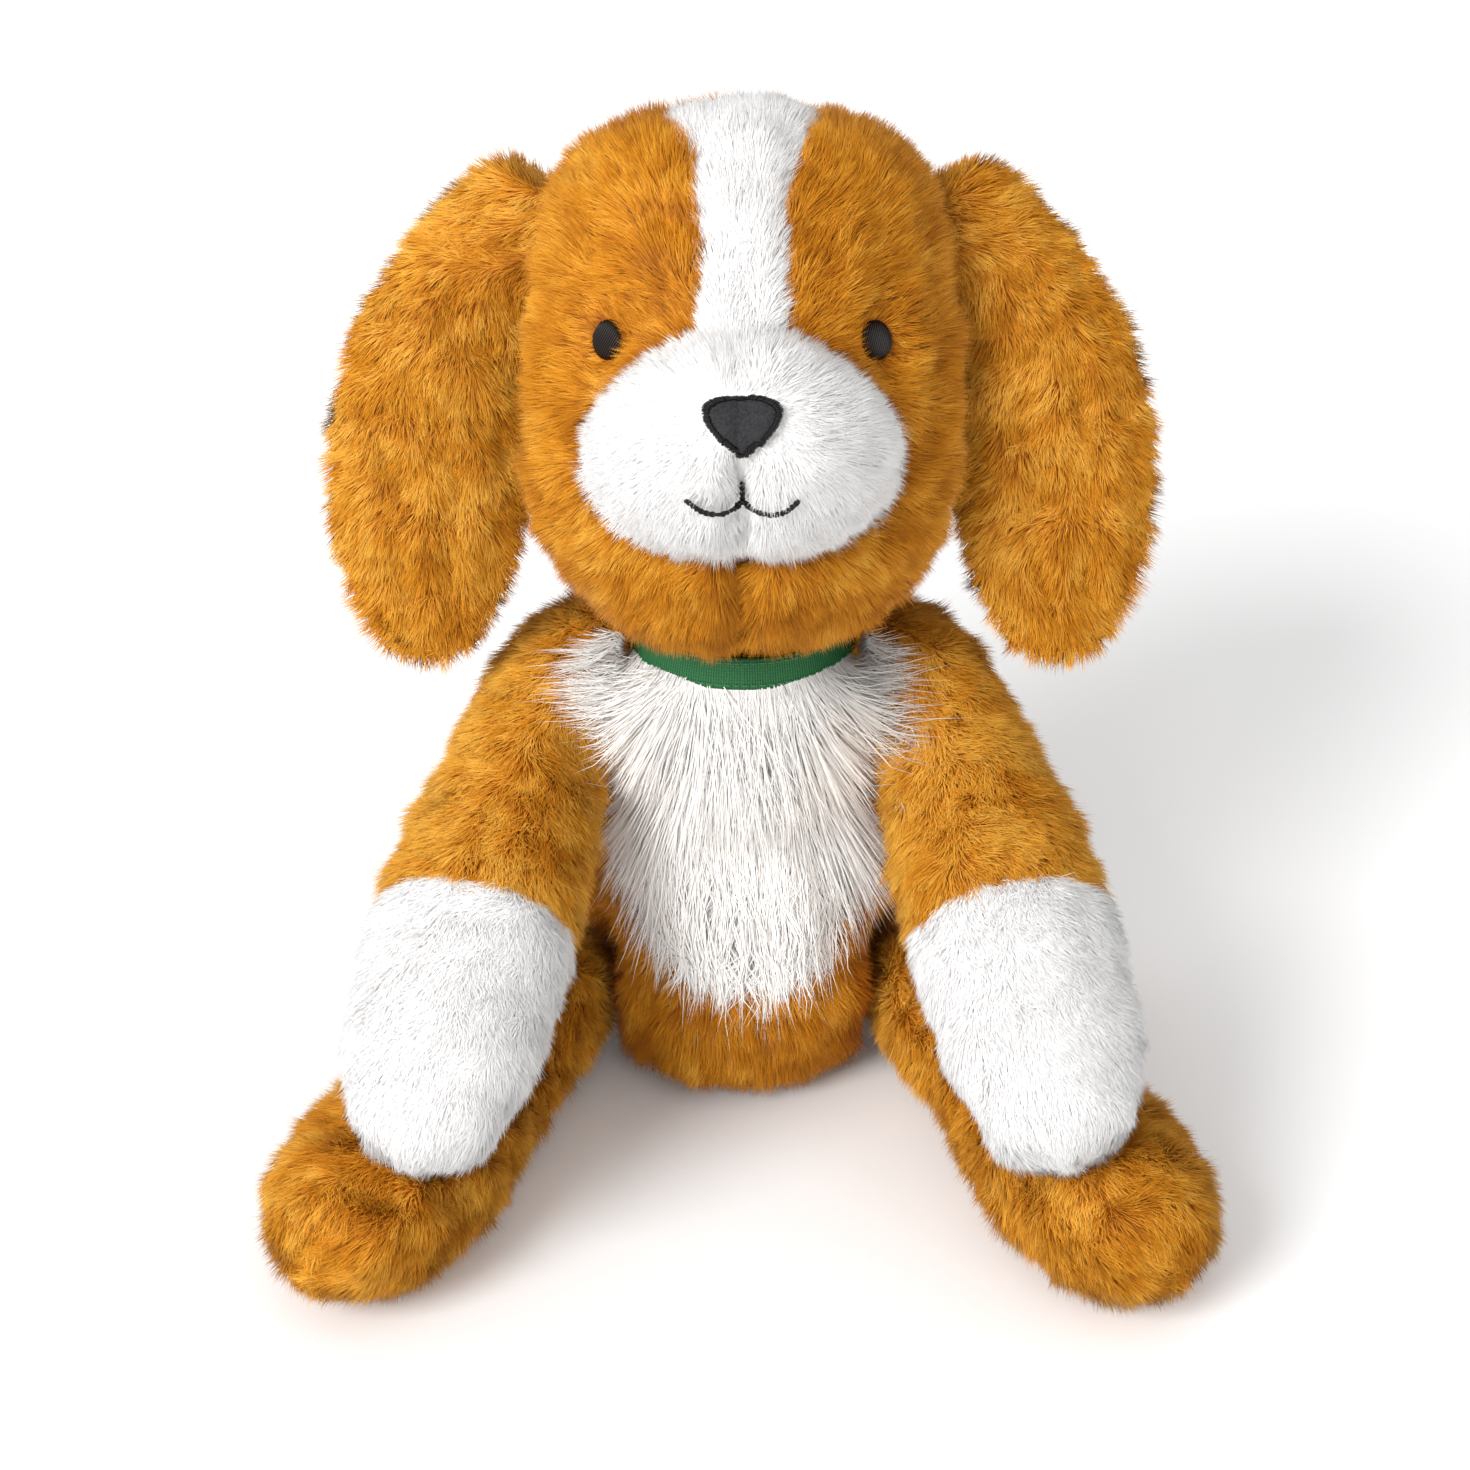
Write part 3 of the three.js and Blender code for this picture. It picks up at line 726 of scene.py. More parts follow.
class Strands:
    """Arrays that describe the pile of one skin: a tapered three-sided strand per row."""

    def __init__(self, skin, seed, per_mm2, length, lean, flow):
        rng = np.random.default_rng(seed)
        self.rng = rng
        at_roots = scatter(skin, per_mm2, rng)
        self.root = at_roots(skin.points)
        self.normal = unit(at_roots(skin.normals))
        self.panel = np.argmin(at_roots(skin.distances), axis=1)
        self.room = at_roots(skin.room)
        self.flow = across(flow(self.root), self.normal)
        self.length = np.full(len(self.root), length)
        self.lean = np.full(len(self.root), math.radians(lean))
        self.keep = np.ones(len(self.root), bool)
        self.white = np.isin(self.panel, [i for i, p in enumerate(skin.panels) if p in WHITE_PANELS])
        self.seed = seed

    def comb(self, painted_light=0.0):
        """Works out where each strand points, once its length, lean and flow are settled."""
        rng, n = self.rng, len(self.root)
        side = np.cross(self.normal, self.flow)
        calm = np.where(self.white, WHITE_CALM, 1.0)
        turn = Field(24 * MM, self.seed + 1)(self.root) * (TANGLE * calm)
        turn = turn + Field(9 * MM, self.seed + 2)(self.root) * 0.2 + rng.normal(0, 0.22, n)
        flow = self.flow * np.cos(turn)[:, None] + side * np.sin(turn)[:, None]
        lean = self.lean + rng.normal(0, 0.13, n) + Field(12 * MM, self.seed + 3)(self.root) * 0.15
        lean = np.clip(lean, 0.05, 1.25)
        direction = self.normal * np.cos(lean)[:, None] + flow * np.sin(lean)[:, None]
        self.length = self.length * rng.uniform(0.72, 1.08, n)
        self.length *= 1 + 0.10 * Field(10 * MM, self.seed + 4)(self.root)
        self.length *= 0.75 + 0.25 * ease(self.room, 0, 6 * MM)
        tip = self.root + direction * self.length[:, None]
        pull, number = self.clumped(CLUMP_SPACING, self.seed)
        tip = tip + pull * (CLUMPING * rng.uniform(0.5, 1.3, n) * calm)[:, None]
        pull, bunch_number = self.clumped(BUNCH_SPACING, self.seed + 5)
        tip = tip + pull * (BUNCHING * rng.uniform(0.4, 1.2, n))[:, None]
        for points, gap in zip((self.root, tip), FLOOR_GAP):
            points[:, 2] = np.maximum(points[:, 2], gap)
        self.tip = tip
        # painted light and shade: each part's whole pile is shifted lighter or darker by its entry in the
        # table above
        shade = 0.5 + painted_light + SHADE_BY_CLUMP * (number - 0.5) * 2 + SHADE_BY_BUNCH * (bunch_number - 0.5) * 2
        shade += SHADE_BY_PLACE * Field(26 * MM, self.seed + 6)(self.root)
        shade += rng.normal(0, SHADE_BY_CHANCE, n)
        self.shade = np.clip(shade, *MAP_ENDS)

    def clumped(self, spacing, seed):
        """The way over the skin from each root to its clump's centre, and the clump's number."""
        centre, number = Worley(spacing, seed)(self.root)
        pull = centre - self.root
        pull -= self.normal * np.sum(pull * self.normal, axis=1, keepdims=True)
        return pull, number

    def rows(self, chosen):
        return np.flatnonzero(self.keep & chosen)


def round_strand(a, b):
    """The three corners round a strand, and the step of shade at each."""
    for k in range(3):
        angle = 2 * math.pi * k / 3
        yield a * math.cos(angle) + b * math.sin(angle), (k - 1) * SHADE_STEP


def strand_mesh(strands, rows):
    """Points, triangles, normals and maps of the chosen strands."""
    n = len(rows)
    root, tip, normal = strands.root[rows], strands.tip[rows], strands.normal[rows]
    axis = unit(tip - root)
    u = across(strands.rng.normal(size=(n, 3)), axis)
    v = np.cross(axis, u)
    half = STRAND_WIDTH / 2 * strands.rng.uniform(0.75, 1.2, (n, 1))
    shade = strands.shade[rows]
    points, normals, shades = [], [], []
    for out, step in round_strand(u, v):
        points.append(root + out * half - normal * ROOT_DEPTH)
        normals.append(unit(out * 0.36 + normal * 0.72))
        shades.append(shade + step)
    points.append(tip)
    normals.append(unit(normal * 0.75 + axis * 0.3))
    shades.append(shade)
    points = np.stack(points, axis=1).reshape(-1, 3)
    normals = np.stack(normals, axis=1).reshape(-1, 3)
    base = np.arange(n)[:, None] * 4
    triangles = np.stack([base + (0, 1, 3), base + (1, 2, 3), base + (2, 0, 3)], axis=1).reshape(-1, 3)
    way = np.tile([MAP_ENDS[0]] * 3 + [MAP_ENDS[1]], (n, 1))
    maps = np.stack([np.stack(shades, axis=1), way], axis=2)
    return points, triangles, normals, maps.reshape(-1, 2)


def thickened(outer, count):
    """A closed solid's triangles from those of its outer face, whose points the inner face's follow."""
    edges = np.vstack([outer[:, [0, 1]], outer[:, [1, 2]], outer[:, [2, 0]]])
    known = {(int(a), int(b)) for a, b in edges}
    rim = sorted((a, b) for a, b in known if (b, a) not in known)
    walls = [(b, a, a + count) for a, b in rim] + [(b, a + count, b + count) for a, b in rim]
    return np.vstack([outer, outer[:, ::-1] + count] + ([np.array(walls)] if walls else []))


def backing(skin, faces, seed):
    """A closed piece of cloth from the chosen triangles of a skin, with the roots' end of every shade, so
    it takes the pile's painted root shade.
    """
    used, local = np.unique(skin.triangles[faces], return_inverse=True)
    triangles = thickened(local.reshape(-1, 3), len(used))
    outer, out = skin.points[used], skin.normals[used]
    count = 2 * len(used)
    rng = np.random.default_rng(seed)
    # painted shade: the cloth is mapped to the dark roots' end of the pile's colours
    maps = np.stack([rng.uniform(0.1, 0.5, count), rng.uniform(0.03, 0.12, count)], axis=1)
    return np.vstack([outer, outer - out * BACKING]), triangles, np.vstack([out, -out]), maps


def furry_piece(name, parts, material):
    """One mesh out of several (points, triangles, normals, map per point) parts."""
    points, triangles, normals, maps = merged(parts)
    mesh = mesh_from(name, points, triangles)
    layer = mesh.uv_layers.new(name=UV_NAME)
    order = np.empty(len(mesh.loops), np.int32)
    mesh.loops.foreach_get("vertex_index", order)
    layer.data.foreach_set("uv", maps[order].astype(np.float32).ravel())
    mesh.polygons.foreach_set("use_smooth", np.ones(len(mesh.polygons), bool))
    mesh.normals_split_custom_set_from_vertices(normals.astype(np.float32))
    mesh.materials.append(material)
    return link(name, mesh)


def furred_panel(name, skin, panel, strands, material, seed):
    """One panel of a skin, with the pile that grows on it."""
    cloth = backing(skin, skin.faces_of(panel), seed)
    hairs = strand_mesh(strands, strands.rows(strands.panel == skin.panels.index(panel)))
    return furry_piece(name, [cloth, hairs], material)


def settle(obj, body, slot, node):
    """Gives a piece its CAD body and hides the CAD node that it stands for. The finish it is given, the
    slot, is not used.
    """
    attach(obj, body)
    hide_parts(node)


def cover(skin, strands):
    """Makes the pieces of one skin, a panel at a time, each in place of its CAD node."""
    for panel in skin.panels:
        if panel == "chest_bib":
            continue
        pile, slot = (WHITE_PILE, "white_plush") if panel in WHITE_PANELS else (GOLD_PILE, "gold_plush")
        piece = furred_panel(panel + "_fur", skin, panel, strands, pile, 7)
        settle(piece, skin.body, slot, panel)


def stuff(skin, node):
    """Loose filling a little inside a skin, in place of its CAD node."""
    lumps = Field(14 * MM, 31)(skin.points) + 0.6 * Field(5 * MM, 32)(skin.points)
    points = skin.points - skin.normals * (2.2 + 0.5 * lumps)[:, None] * MM
    piece = solid_piece(node + "_fibre", [(points, skin.triangles)], FIBRE)
    settle(piece, skin.body, "stuffing", node)


def along(direction):
    return lambda points: np.tile(np.array(direction, float), (len(points), 1))


def trees_of(*bodies):
    """The CAD nodes of some bodies, as search trees."""
    return [NODE_TREES[name] for body in bodies for name in BODY_NODES[body]]


# ------------------------------------------------------------------ the dog's covers

def two_sides(*patterns):
    return [p + "_" + side for p in patterns for side, _ in SIDES]


def set_ears(skins):
    """Brings the ears' roots in to where they are sewn, and their inner edges against the head."""
    for side, sign in SIDES:
        skin = skins["ear_" + side]
        local = to_frame(skin.points, DOG_TO_HEAD)
        x, z = local[:, 0] * sign, local[:, 2]
        root = ease(z, 10 * MM, 55 * MM)
        inner = 1 - ease(x, 62 * MM, 84 * MM)
        outer = ease(x, 58 * MM, 82 * MM)
        shoulder = hump(x - 70 * MM, 18 * MM) * ease(z, 22 * MM, 48 * MM)
        pull = EAR_ROOT_PULL * root * (1 - 0.8 * outer) + EAR_EDGE_PULL * inner * (1 - root)
        local[:, 0] -= sign * pull
        local[:, 2] += EAR_SHOULDER * shoulder
        skin.points = to_frame(local, HEAD_TO_DOG)
        skin.measure()


def set_tail(tail):
    """Takes the tail's root in to the torso."""
    root = 1 - ease(tail.points[:, 1], 40 * MM, 66 * MM)
    tail.points[:, 1] -= TAIL_ROOT_PULL * root
    tail.measure()


def set_paws(skins):
    """Lets the paws sink into the pile of the legs they rest on."""
    for side, _ in SIDES:
        skin = skins["arm_" + side]
        under = ease(-skin.normals[:, 2], 0.3, 0.9) * ease(-skin.points[:, 1], 60 * MM, 110 * MM)
        skin.points[:, 2] -= PAW_SINK * under
        skin.points = relaxed(skin.points, skin.triangles, 3)
        skin.measure()


def make_skins():
    """Every cover's skin, with its body, its panels, what it is wrapped round, and its voxel in mm."""
    head_panels = two_sides("head_side_panel", "head_back_panel", "muzzle_panel") + ["blaze_panel"]
    torso_panels = ["torso_front_cover", *two_sides("torso_back_cover"), "seat_base", "chest_bib"]
    skins = [
        Skin("head", "head", head_panels, ["head_stuffing"], 3.2),
        Skin("torso", "torso", torso_panels, ["torso_stuffing"], 3.6),
        Skin("tail", "tail", ["tail_cover"], ["tail_stuffing"], 3.0),
    ]
    for side, _ in SIDES:
        ear = ["ear_front_panel_" + side, "ear_back_panel_" + side]
        arm = ["arm_sleeve_" + side, "paw_" + side]
        leg = ["leg_upper_cover_" + side, "leg_under_cover_" + side]
        skins.append(Skin("ear_" + side, "ear_" + side, ear, ear, 2.6, inset=2.2))
        skins.append(Skin("arm_" + side, "arm_" + side, arm, ["arm_stuffing_" + side], 3.4))
        skins.append(Skin("leg_" + side, "leg_" + side, leg, ["leg_stuffing_" + side], 3.4))
    return {skin.name: skin for skin in skins}


# The bodies that a part's pile is pressed short against
NEIGHBOURS = {
    "head": ["torso", *two_sides("ear")],
    "torso": two_sides("arm", "leg") + ["tail"],
    "tail": ["torso"],
}
for ear in two_sides("ear"):
    NEIGHBOURS[ear] = ["head"]
for limb in two_sides("arm", "leg"):
    NEIGHBOURS[limb] = ["torso"]


def part_face(strands):
    """Leaves the eyes and the nose bare, and parts and shortens the pile round them and the mouth."""
    local = to_frame(strands.root, DOG_TO_HEAD)
    flat = local[:, [0, 2]] / MM
    front = local[:, 1] < FRONT

    def shorten(bare, gap, start, end, share):
        """Clears the pile where it is bare, and shortens it by up to a share as the gap falls to start."""
        near = front * (1 - ease(gap, start, end))
        strands.keep &= ~(front & bare)
        strands.length *= 1 - share * near
        return near

    for _, sign in SIDES:
        offset = flat - np.array([sign * EYE_PLACE[0], EYE_PLACE[1]]) / MM
        radius = np.hypot(*(offset / (np.array(EYE_SIZE) / MM)).T)
        near = shorten(radius < 0.86, radius, 1.0, 2.6, 0.45)
        outward = turned_to_dog(np.insert(offset, 1, 0.0, axis=1))
        strands.flow = unit(strands.flow + across(outward, strands.normal) * (near * 3)[:, None])
    outline = mirrored(NOSE_OUTLINE)
    gap = distance_to_line(flat, outline + outline[:1])
    shorten(inside_outline(flat, outline) | (gap < 0.4), gap, 1.5, 8, 0.42)
    for line in (SMILE, OTHER_SMILE, LIP):
        gap = distance_to_line(flat, line)
        shorten(gap < 0.5, gap, 0.8, 5.5, 0.5)


def ear_flow(sign):
    """Down the ear from its root, spreading to both edges."""

    def flow(points):
        local = to_frame(points, DOG_TO_HEAD) / MM
        middle = sign * np.interp(local[:, 2], *EAR_MIDDLE)
        root = ease(local[:, 2], 8, 58)
        spread = (local[:, 0] - middle) / 30
        return turned_to_dog(np.stack([sign * root + spread * 0.75, 0 * root, 0.75 * root - 1], axis=1))

    return flow


def head_flow(points):
    """Away from the nose over the face, and down the back of the head."""
    local = to_frame(points, DOG_TO_HEAD)
    outward = unit(local - np.array((0, -70 * MM, 3 * MM)))
    back = ease(local[:, 1], FRONT, 30 * MM)[:, None]
    return turned_to_dog(outward * (1 - 0.9 * back) + np.array((0, 0, -1.0)) * back)


def make_covers(skins):
    """Grows every cover's pile along its flow, at its lean in degrees, and fills the cover."""
    plans = {"head": (head_flow, 40), "torso": (along((0, 0, -1)), 50), "tail": (along((0, 1, 0.15)), 48)}
    for side, sign in SIDES:
        plans["ear_" + side] = (ear_flow(sign), 48)
        plans["arm_" + side] = (along((0.3 * sign, -0.75, -0.6)), 60)
        plans["leg_" + side] = (along((0.45 * sign, -0.85, -0.1)), 56)
    for number, (name, (flow, lean)) in enumerate(plans.items()):
        skin = skins[name]
        part, _, side = name.partition("_")
        skin.room = clearance(skin, trees_of(*NEIGHBOURS[name]), ROOM_REACH)
        strands = Strands(skin, 100 + 10 * number, STRANDS_PER_MM2, GOLD_LENGTH, lean, flow)
        strands.length[strands.white] = WHITE_LENGTH
        strands.lean[strands.white] += math.radians(WHITE_LEAN)
        if part == "head":
            part_face(strands)
        if part == "ear":
            strands.length *= EAR_LENGTH_SHARE
        strands.comb(painted_light=PART_PAINTED_LIGHT.get(part, 0.0))
        cover(skin, strands)
        if part != "ear":
            stuff(skin, part + "_stuffing" + ("_" + side if side else ""))


# ------------------------------------------------------------------ threads and patches

def tube(path, radius, sides):
    """A round thread along some points, closed at its ends."""
    path = np.asarray(path, float)
    tangent = unit(np.gradient(path, axis=0))
    reference = np.array([0.31, 0.87, 0.39])
    across_way = unit(np.cross(tangent, reference))
    other_way = np.cross(tangent, across_way)
    turns = np.arange(sides) * 2 * math.pi / sides
    radius = np.broadcast_to(radius, (len(path),))[:, None, None]
    out = across_way[:, None] * np.cos(turns)[:, None] + other_way[:, None] * np.sin(turns)[:, None]
    points = (path[:, None] + out * radius).reshape(-1, 3)
    triangles = []
    for a, b, c, d in grid(len(path), sides):
        triangles += [(a, b, d), (b, c, d)]
    last = (len(path) - 1) * sides
    for k in range(1, sides - 1):
        triangles += [(0, k + 1, k), (last, last + k, last + k + 1)]
    return points, np.array(triangles)


def distances_along(path):
    """How far along a path each of its points is."""
    return np.concatenate([[0], np.cumsum(np.linalg.norm(np.diff(path, axis=0), axis=1))])


def resampled(line, count):
    """Evenly spaced points on a smooth curve through the given ones."""
    line = np.asarray(line, float)
    padded = np.vstack([2 * line[0] - line[1], line, 2 * line[-1] - line[-2]])
    fine = []
    for i in range(len(line) - 1):
        p0, p1, p2, p3 = padded[i:i + 4]
        t = np.linspace(0, 1, 12, endpoint=False)[:, None]
        fine.append(p1 + (p2 - p0) * t / 2 + (2 * p0 - 5 * p1 + 4 * p2 - p3) * t**2 / 2
                    + (3 * p1 - p0 - 3 * p2 + p3) * t**3 / 2)
    fine = np.vstack(fine + [line[-1:]])
    step = distances_along(fine)
    wanted = np.linspace(0, step[-1], count)
    return np.stack([np.interp(wanted, step, fine[:, k]) for k in range(fine.shape[1])], axis=1)


class Face:
    """Places things on the front of the head by their x and z in the head's frame."""

    def __init__(self, head):
        self.tree = tree_of(head.points, head.triangles)
        self.forward = HEAD_TO_DOG.to_3x3() @ Vector((0, -1, 0))

    def point(self, x, z, lift):
        start = HEAD_TO_DOG @ Vector((x, -0.2, z))
        hit, normal, _, _ = self.tree.ray_cast(start, -self.forward)
        out = (normal + self.forward * 2).normalized()
        return np.array(hit + out * lift)

    def line(self, flat, lift):
        return np.array([self.point(x * MM, z * MM, lift) for x, z in flat])


EYE_LIFT = 1.9 * MM  # over the skin
EYE_DOME = 1.5 * MM
EYE_TURN = 0.35  # outwards, as a share of the way forwards
EYE_THREAD = 0.33 * MM  # radius
EYE_SLANT = math.radians(62)  # of its threads
NOSE_LIFT = 3.6 * MM  # over the skin, as high as the pile round it
NOSE_DOME = 1.5  # millimetres
NOSE_STITCHES = 124


def make_eyes(face):
    """Discs of satin stitch: a padded core under close threads that all run one way."""
    wide, high = EYE_SIZE
    rings, around = 6, 28
    for side, sign in SIDES:
        middle = face.point(sign * EYE_PLACE[0], EYE_PLACE[1], EYE_LIFT)
        out = unit(np.array(face.forward) + np.array([EYE_TURN * sign, 0, 0]))
        right = unit(np.cross([0, 0, 1.0], out))
        up = np.cross(out, right)

        def on_eye(a, b, rise):
            """A point of the dome at a share of the eye's width and height."""
            height = EYE_DOME * math.sqrt(max(0.0, 1 - min(1.0, a * a + b * b) ** 1.6)) + rise
            return middle + right * a * wide + up * b * high + out * height

        core = [on_eye(0, 0, 0)]
        for i in range(1, rings + 1):
            share = i / rings
            for angle in np.arange(around) * 2 * math.pi / around:
                core.append(on_eye(share * math.cos(angle), share * math.sin(angle), 0))
        core.extend([p - out * 2.5 * MM for p in core[-around:]])
        triangles = [(0, 1 + k, 1 + (k + 1) % around) for k in range(around)]
        for a, b, c, d in grid(rings + 1, around, 1):
            triangles += [(a, d, b), (b, d, c)]
        parts = [(np.array(core), np.array(triangles))]
        for offset in np.arange(-0.94, 0.95, 0.13):
            reach = math.sqrt(1 - offset * offset)
            path = []
            for t in np.linspace(-reach, reach, 9):
                a = t * math.cos(EYE_SLANT) - offset * math.sin(EYE_SLANT)
                b = t * math.sin(EYE_SLANT) + offset * math.cos(EYE_SLANT)
                path.append(on_eye(a, b, 0.05 * MM))
            parts.append(tube(path, EYE_THREAD, 6))
        piece = solid_piece("eye_%s_stitched" % side, parts, BROWN_THREAD)
        settle(piece, "head", "thread", "eye_" + side)


def make_nose(face):
    """A brushed patch that is bound with satin stitch all round."""
    outline = mirrored(NOSE_OUTLINE)
    edge = resampled(outline + outline[:1], NOSE_STITCHES + 1)[:-1]
    middle = np.array([0.0, -1.2])
    rings = 7

    def at(share, rise):
        """The outline at a share of its size, at a height in millimetres over the pile."""
        return face.line(middle + (edge - middle) * share, NOSE_LIFT + rise * MM)

    layers = [face.line([middle], NOSE_LIFT + NOSE_DOME * MM)]
    for i in range(1, rings + 1):
        share = i / rings
        layers.append(at(share, NOSE_DOME * (1 - share**5)))
    layers.append(at(1.0, -3.5))
    triangles = [(0, 1 + (k + 1) % NOSE_STITCHES, 1 + k) for k in range(NOSE_STITCHES)]
    for a, b, c, d in grid(rings + 1, NOSE_STITCHES, 1):
        triangles += [(a, b, d), (b, c, d)]
    patch = solid_piece("nose_patch", [(np.vstack(layers), triangles)], BRUSHED_CLOTH)
    settle(patch, "head", "thread", "nose")
    section = ((0.84, 0.8), (0.885, 1.35), (0.95, 1.2), (1.01, 0.4), (1.03, -0.8))
    stations = [at(share, rise) for share, rise in section]
    rng = np.random.default_rng(61)
    stitches = []
    for stitch in np.stack(stations, axis=1):
        shift = rng.normal(0, 0.05, 3) * MM
        stitches.append(tube(stitch + shift, 0.24 * MM, 5))
    border = solid_piece("nose_border", stitches, BLACK_THREAD)
    settle(border, "head", "thread", "nose")


def twisted(path, radius, pitch):
    """Two plies wound round a path."""
    path = np.asarray(path)
    tangent = unit(np.gradient(path, axis=0))
    a = unit(np.cross(tangent, [0.0, 1.0, 0.2]))
    b = np.cross(tangent, a)
    plies = []
    for start in (0, math.pi):
        angle = (start + distances_along(path) / pitch * 2 * math.pi)[:, None]
        plies.append(tube(path + (a * np.cos(angle) + b * np.sin(angle)) * radius * 0.5, radius * 0.62, 6))
    return plies


MOUTH_THREAD = 0.78 * MM  # radius
MOUTH_PITCH = 3.2 * MM  # of the thread's twist
SMILE_LIFT = 3.7 * MM
LIP_LIFT = 2.8 * MM


def make_mouth(face):
    """The smile, and the foot of the lip line, in twisted thread. The pile hides the rest of the lip's."""
    smile = OTHER_SMILE[:0:-1] + SMILE
    parts = []
    for line, count, lift in ((smile, 60, SMILE_LIFT), (LIP[-2:], 12, LIP_LIFT)):
        path = face.line(resampled(line, count), lift)
        parts += twisted(path, MOUTH_THREAD, MOUTH_PITCH)
    piece = solid_piece("mouth_thread", parts, BLACK_THREAD)
    settle(piece, "head", "thread", "mouth_stitching")


COLLAR_RISE = 4.5 * MM  # with the chin
RIBBON_THICKNESS = 1.0 * MM
TOPSTITCHES = 84  # in each line
STITCH = ((0.0, -0.25), (0.12, 0.2), (0.4, 0.32), (0.68, 0.2), (0.8, -0.25))  # share of its pitch, lift


def middle_and_half(node):
    """The middle of a CAD node's box, and half its size."""
    low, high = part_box(node)
    return (low + high) / 2, (high - low) / 2


def make_collar():
    """A woven ribbon with a line of topstitching near each edge."""
    middle, half = middle_and_half("collar_ribbon")
    half -= Vector((1.6, 1.2, 0)) * MM
    around, rows = 180, 8
    waves = Field(30 * MM, 51)

    def at(turn, share, lift):
        """A point at a turn round the neck and a share of the height, lifted off the ribbon's face."""
        out = np.array([math.sin(turn), -math.cos(turn), 0])
        base = np.array(middle) + out * (half.x, half.y, 0)
        flare = (0.5 - share) * (1.5 + 0.9 * math.cos(turn)) * MM
        wave = float(waves(base[None])[0])
        height = (share - 0.5) * 2 * half.z + COLLAR_RISE + 0.5 * MM * wave
        return base + out * (flare + lift + 0.35 * MM * wave) + (0, 0, height)

    points = []
    for lift in (0.0, -RIBBON_THICKNESS):
        for row in range(rows + 1):
            for k in range(around):
                points.append(at(2 * math.pi * k / around, row / rows, lift))
    triangles = []
    for a, b, c, d in grid(rows + 1, around):
        triangles += [(a, b, c), (a, c, d)]
    triangles = thickened(np.array(triangles), (rows + 1) * around)
    band = solid_piece("collar_band", [(points, triangles)], RIBBON)
    weave = band.data.uv_layers.new(name=WEAVE)
    girth = math.pi * (half.x + half.y)
    for polygon in band.data.polygons:
        corners = [band.data.loops[loop].vertex_index for loop in polygon.loop_indices]
        places = [corner % around for corner in corners]
        wraps = max(places) - min(places) > 2
        for loop, corner, place in zip(polygon.loop_indices, corners, places):
            turn = place + around if wraps and place < 2 else place
            row = (corner // around) % (rows + 1)
            weave.data[loop].uv = (turn / around * girth / MM, row / rows * 2 * half.z / MM)
    settle(band, "torso", "ribbon", "collar_ribbon")
    stitches = []
    for share in (0.14, 0.86):
        for k in range(TOPSTITCHES):
            path = [at(2 * math.pi * (k + t) / TOPSTITCHES, share, lift * MM) for t, lift in STITCH]
            stitches.append(tube(path, 0.26 * MM, 5))
    seam = solid_piece("collar_topstitch", stitches, GREEN_THREAD)
    settle(seam, "torso", "ribbon", "collar_ribbon")


# ------------------------------------------------------------------ the bib of long hair

BIB_LAYERS = 3
BIB_HAIRS = 7200  # in each layer
BIB_ROOTS_PER_MM2 = 16.0  # that they are chosen from
BIB_STEPS = 5  # along each hair
BIB_SPREAD = 0.62  # radians, of the mane's hairs round the neck
HAIR_WIDTH = 0.32 * MM
HAIR_TAPER = 0.55
LOCK_SPACING = 6 * MM
LOCK_WAVE = 1.1 * MM
WISPS = 0.03  # the share of the bib's hairs that are longer than the rest
WISP_LENGTH = 1.22
MANE = 0.34  # the share of the hairs that grow from under the collar
MANE_TURN = math.radians(78)  # how far round the neck it reaches
MANE_LENGTH = 50 * MM
HAIR_FALL = Vector((0, 0.55, -0.83)).normalized()  # the way hairs settle onto the shoulders
SETTLE_LIMIT = 30 * MM


def make_bib(torso, arms):
    """Long hairs that spread from under the collar and hang over the chest in locks, in a few layers."""
    under = Strands(torso, 71, 3.0, GOLD_LENGTH, 50, along((0, 0, -1)))
    under.comb()
    cloth = furred_panel("chest_bib_cloth", torso, "chest_bib", under, LONG_PILE, 9)
    settle(cloth, "torso", "long_pile", "chest_bib")
    chest = tree_of(torso.points, torso.triangles)
    limbs = [tree_of(arm.points, arm.triangles) for arm in arms]
    for layer in range(BIB_LAYERS):
        hairs = bib_hairs(torso, chest, limbs, 72 + layer)
        piece = furry_piece("chest_bib_hair_%d" % (layer + 1), [hairs], LONG_PILE)
        settle(piece, "torso", "long_pile", "chest_bib")


def laid_over(point, trees, lift):
    """Raises a point out of any limb it is in, against the way the hairs fall."""
    start = point - HAIR_FALL * 2 * SETTLE_LIMIT
    for tree in trees:
        hit, _, _, reach = tree.ray_cast(start, HAIR_FALL, 2 * SETTLE_LIMIT + lift)
        if hit and reach > SETTLE_LIMIT:
            point = hit - HAIR_FALL * lift
            start = point - HAIR_FALL * 2 * SETTLE_LIMIT
    return point


def settled(path, rise, chest, limbs):
    """Lifts the hairs' points off the chest by their rise, less towards the tips, and out of the limbs."""
    for step in range(1, BIB_STEPS + 1):
        lift = rise * (1 - 0.3 * step / BIB_STEPS)
        for i in range(len(path)):
            point = Vector(path[i, step])
            hit, out, _, gap = chest.find_nearest(point)
            if (point - hit).dot(out) < 0:
                gap = -gap
            if gap < lift[i]:
                point = point + out * (lift[i] - gap) * 0.9
            path[i, step] = laid_over(point, limbs, lift[i] + 3 * MM)
    return path


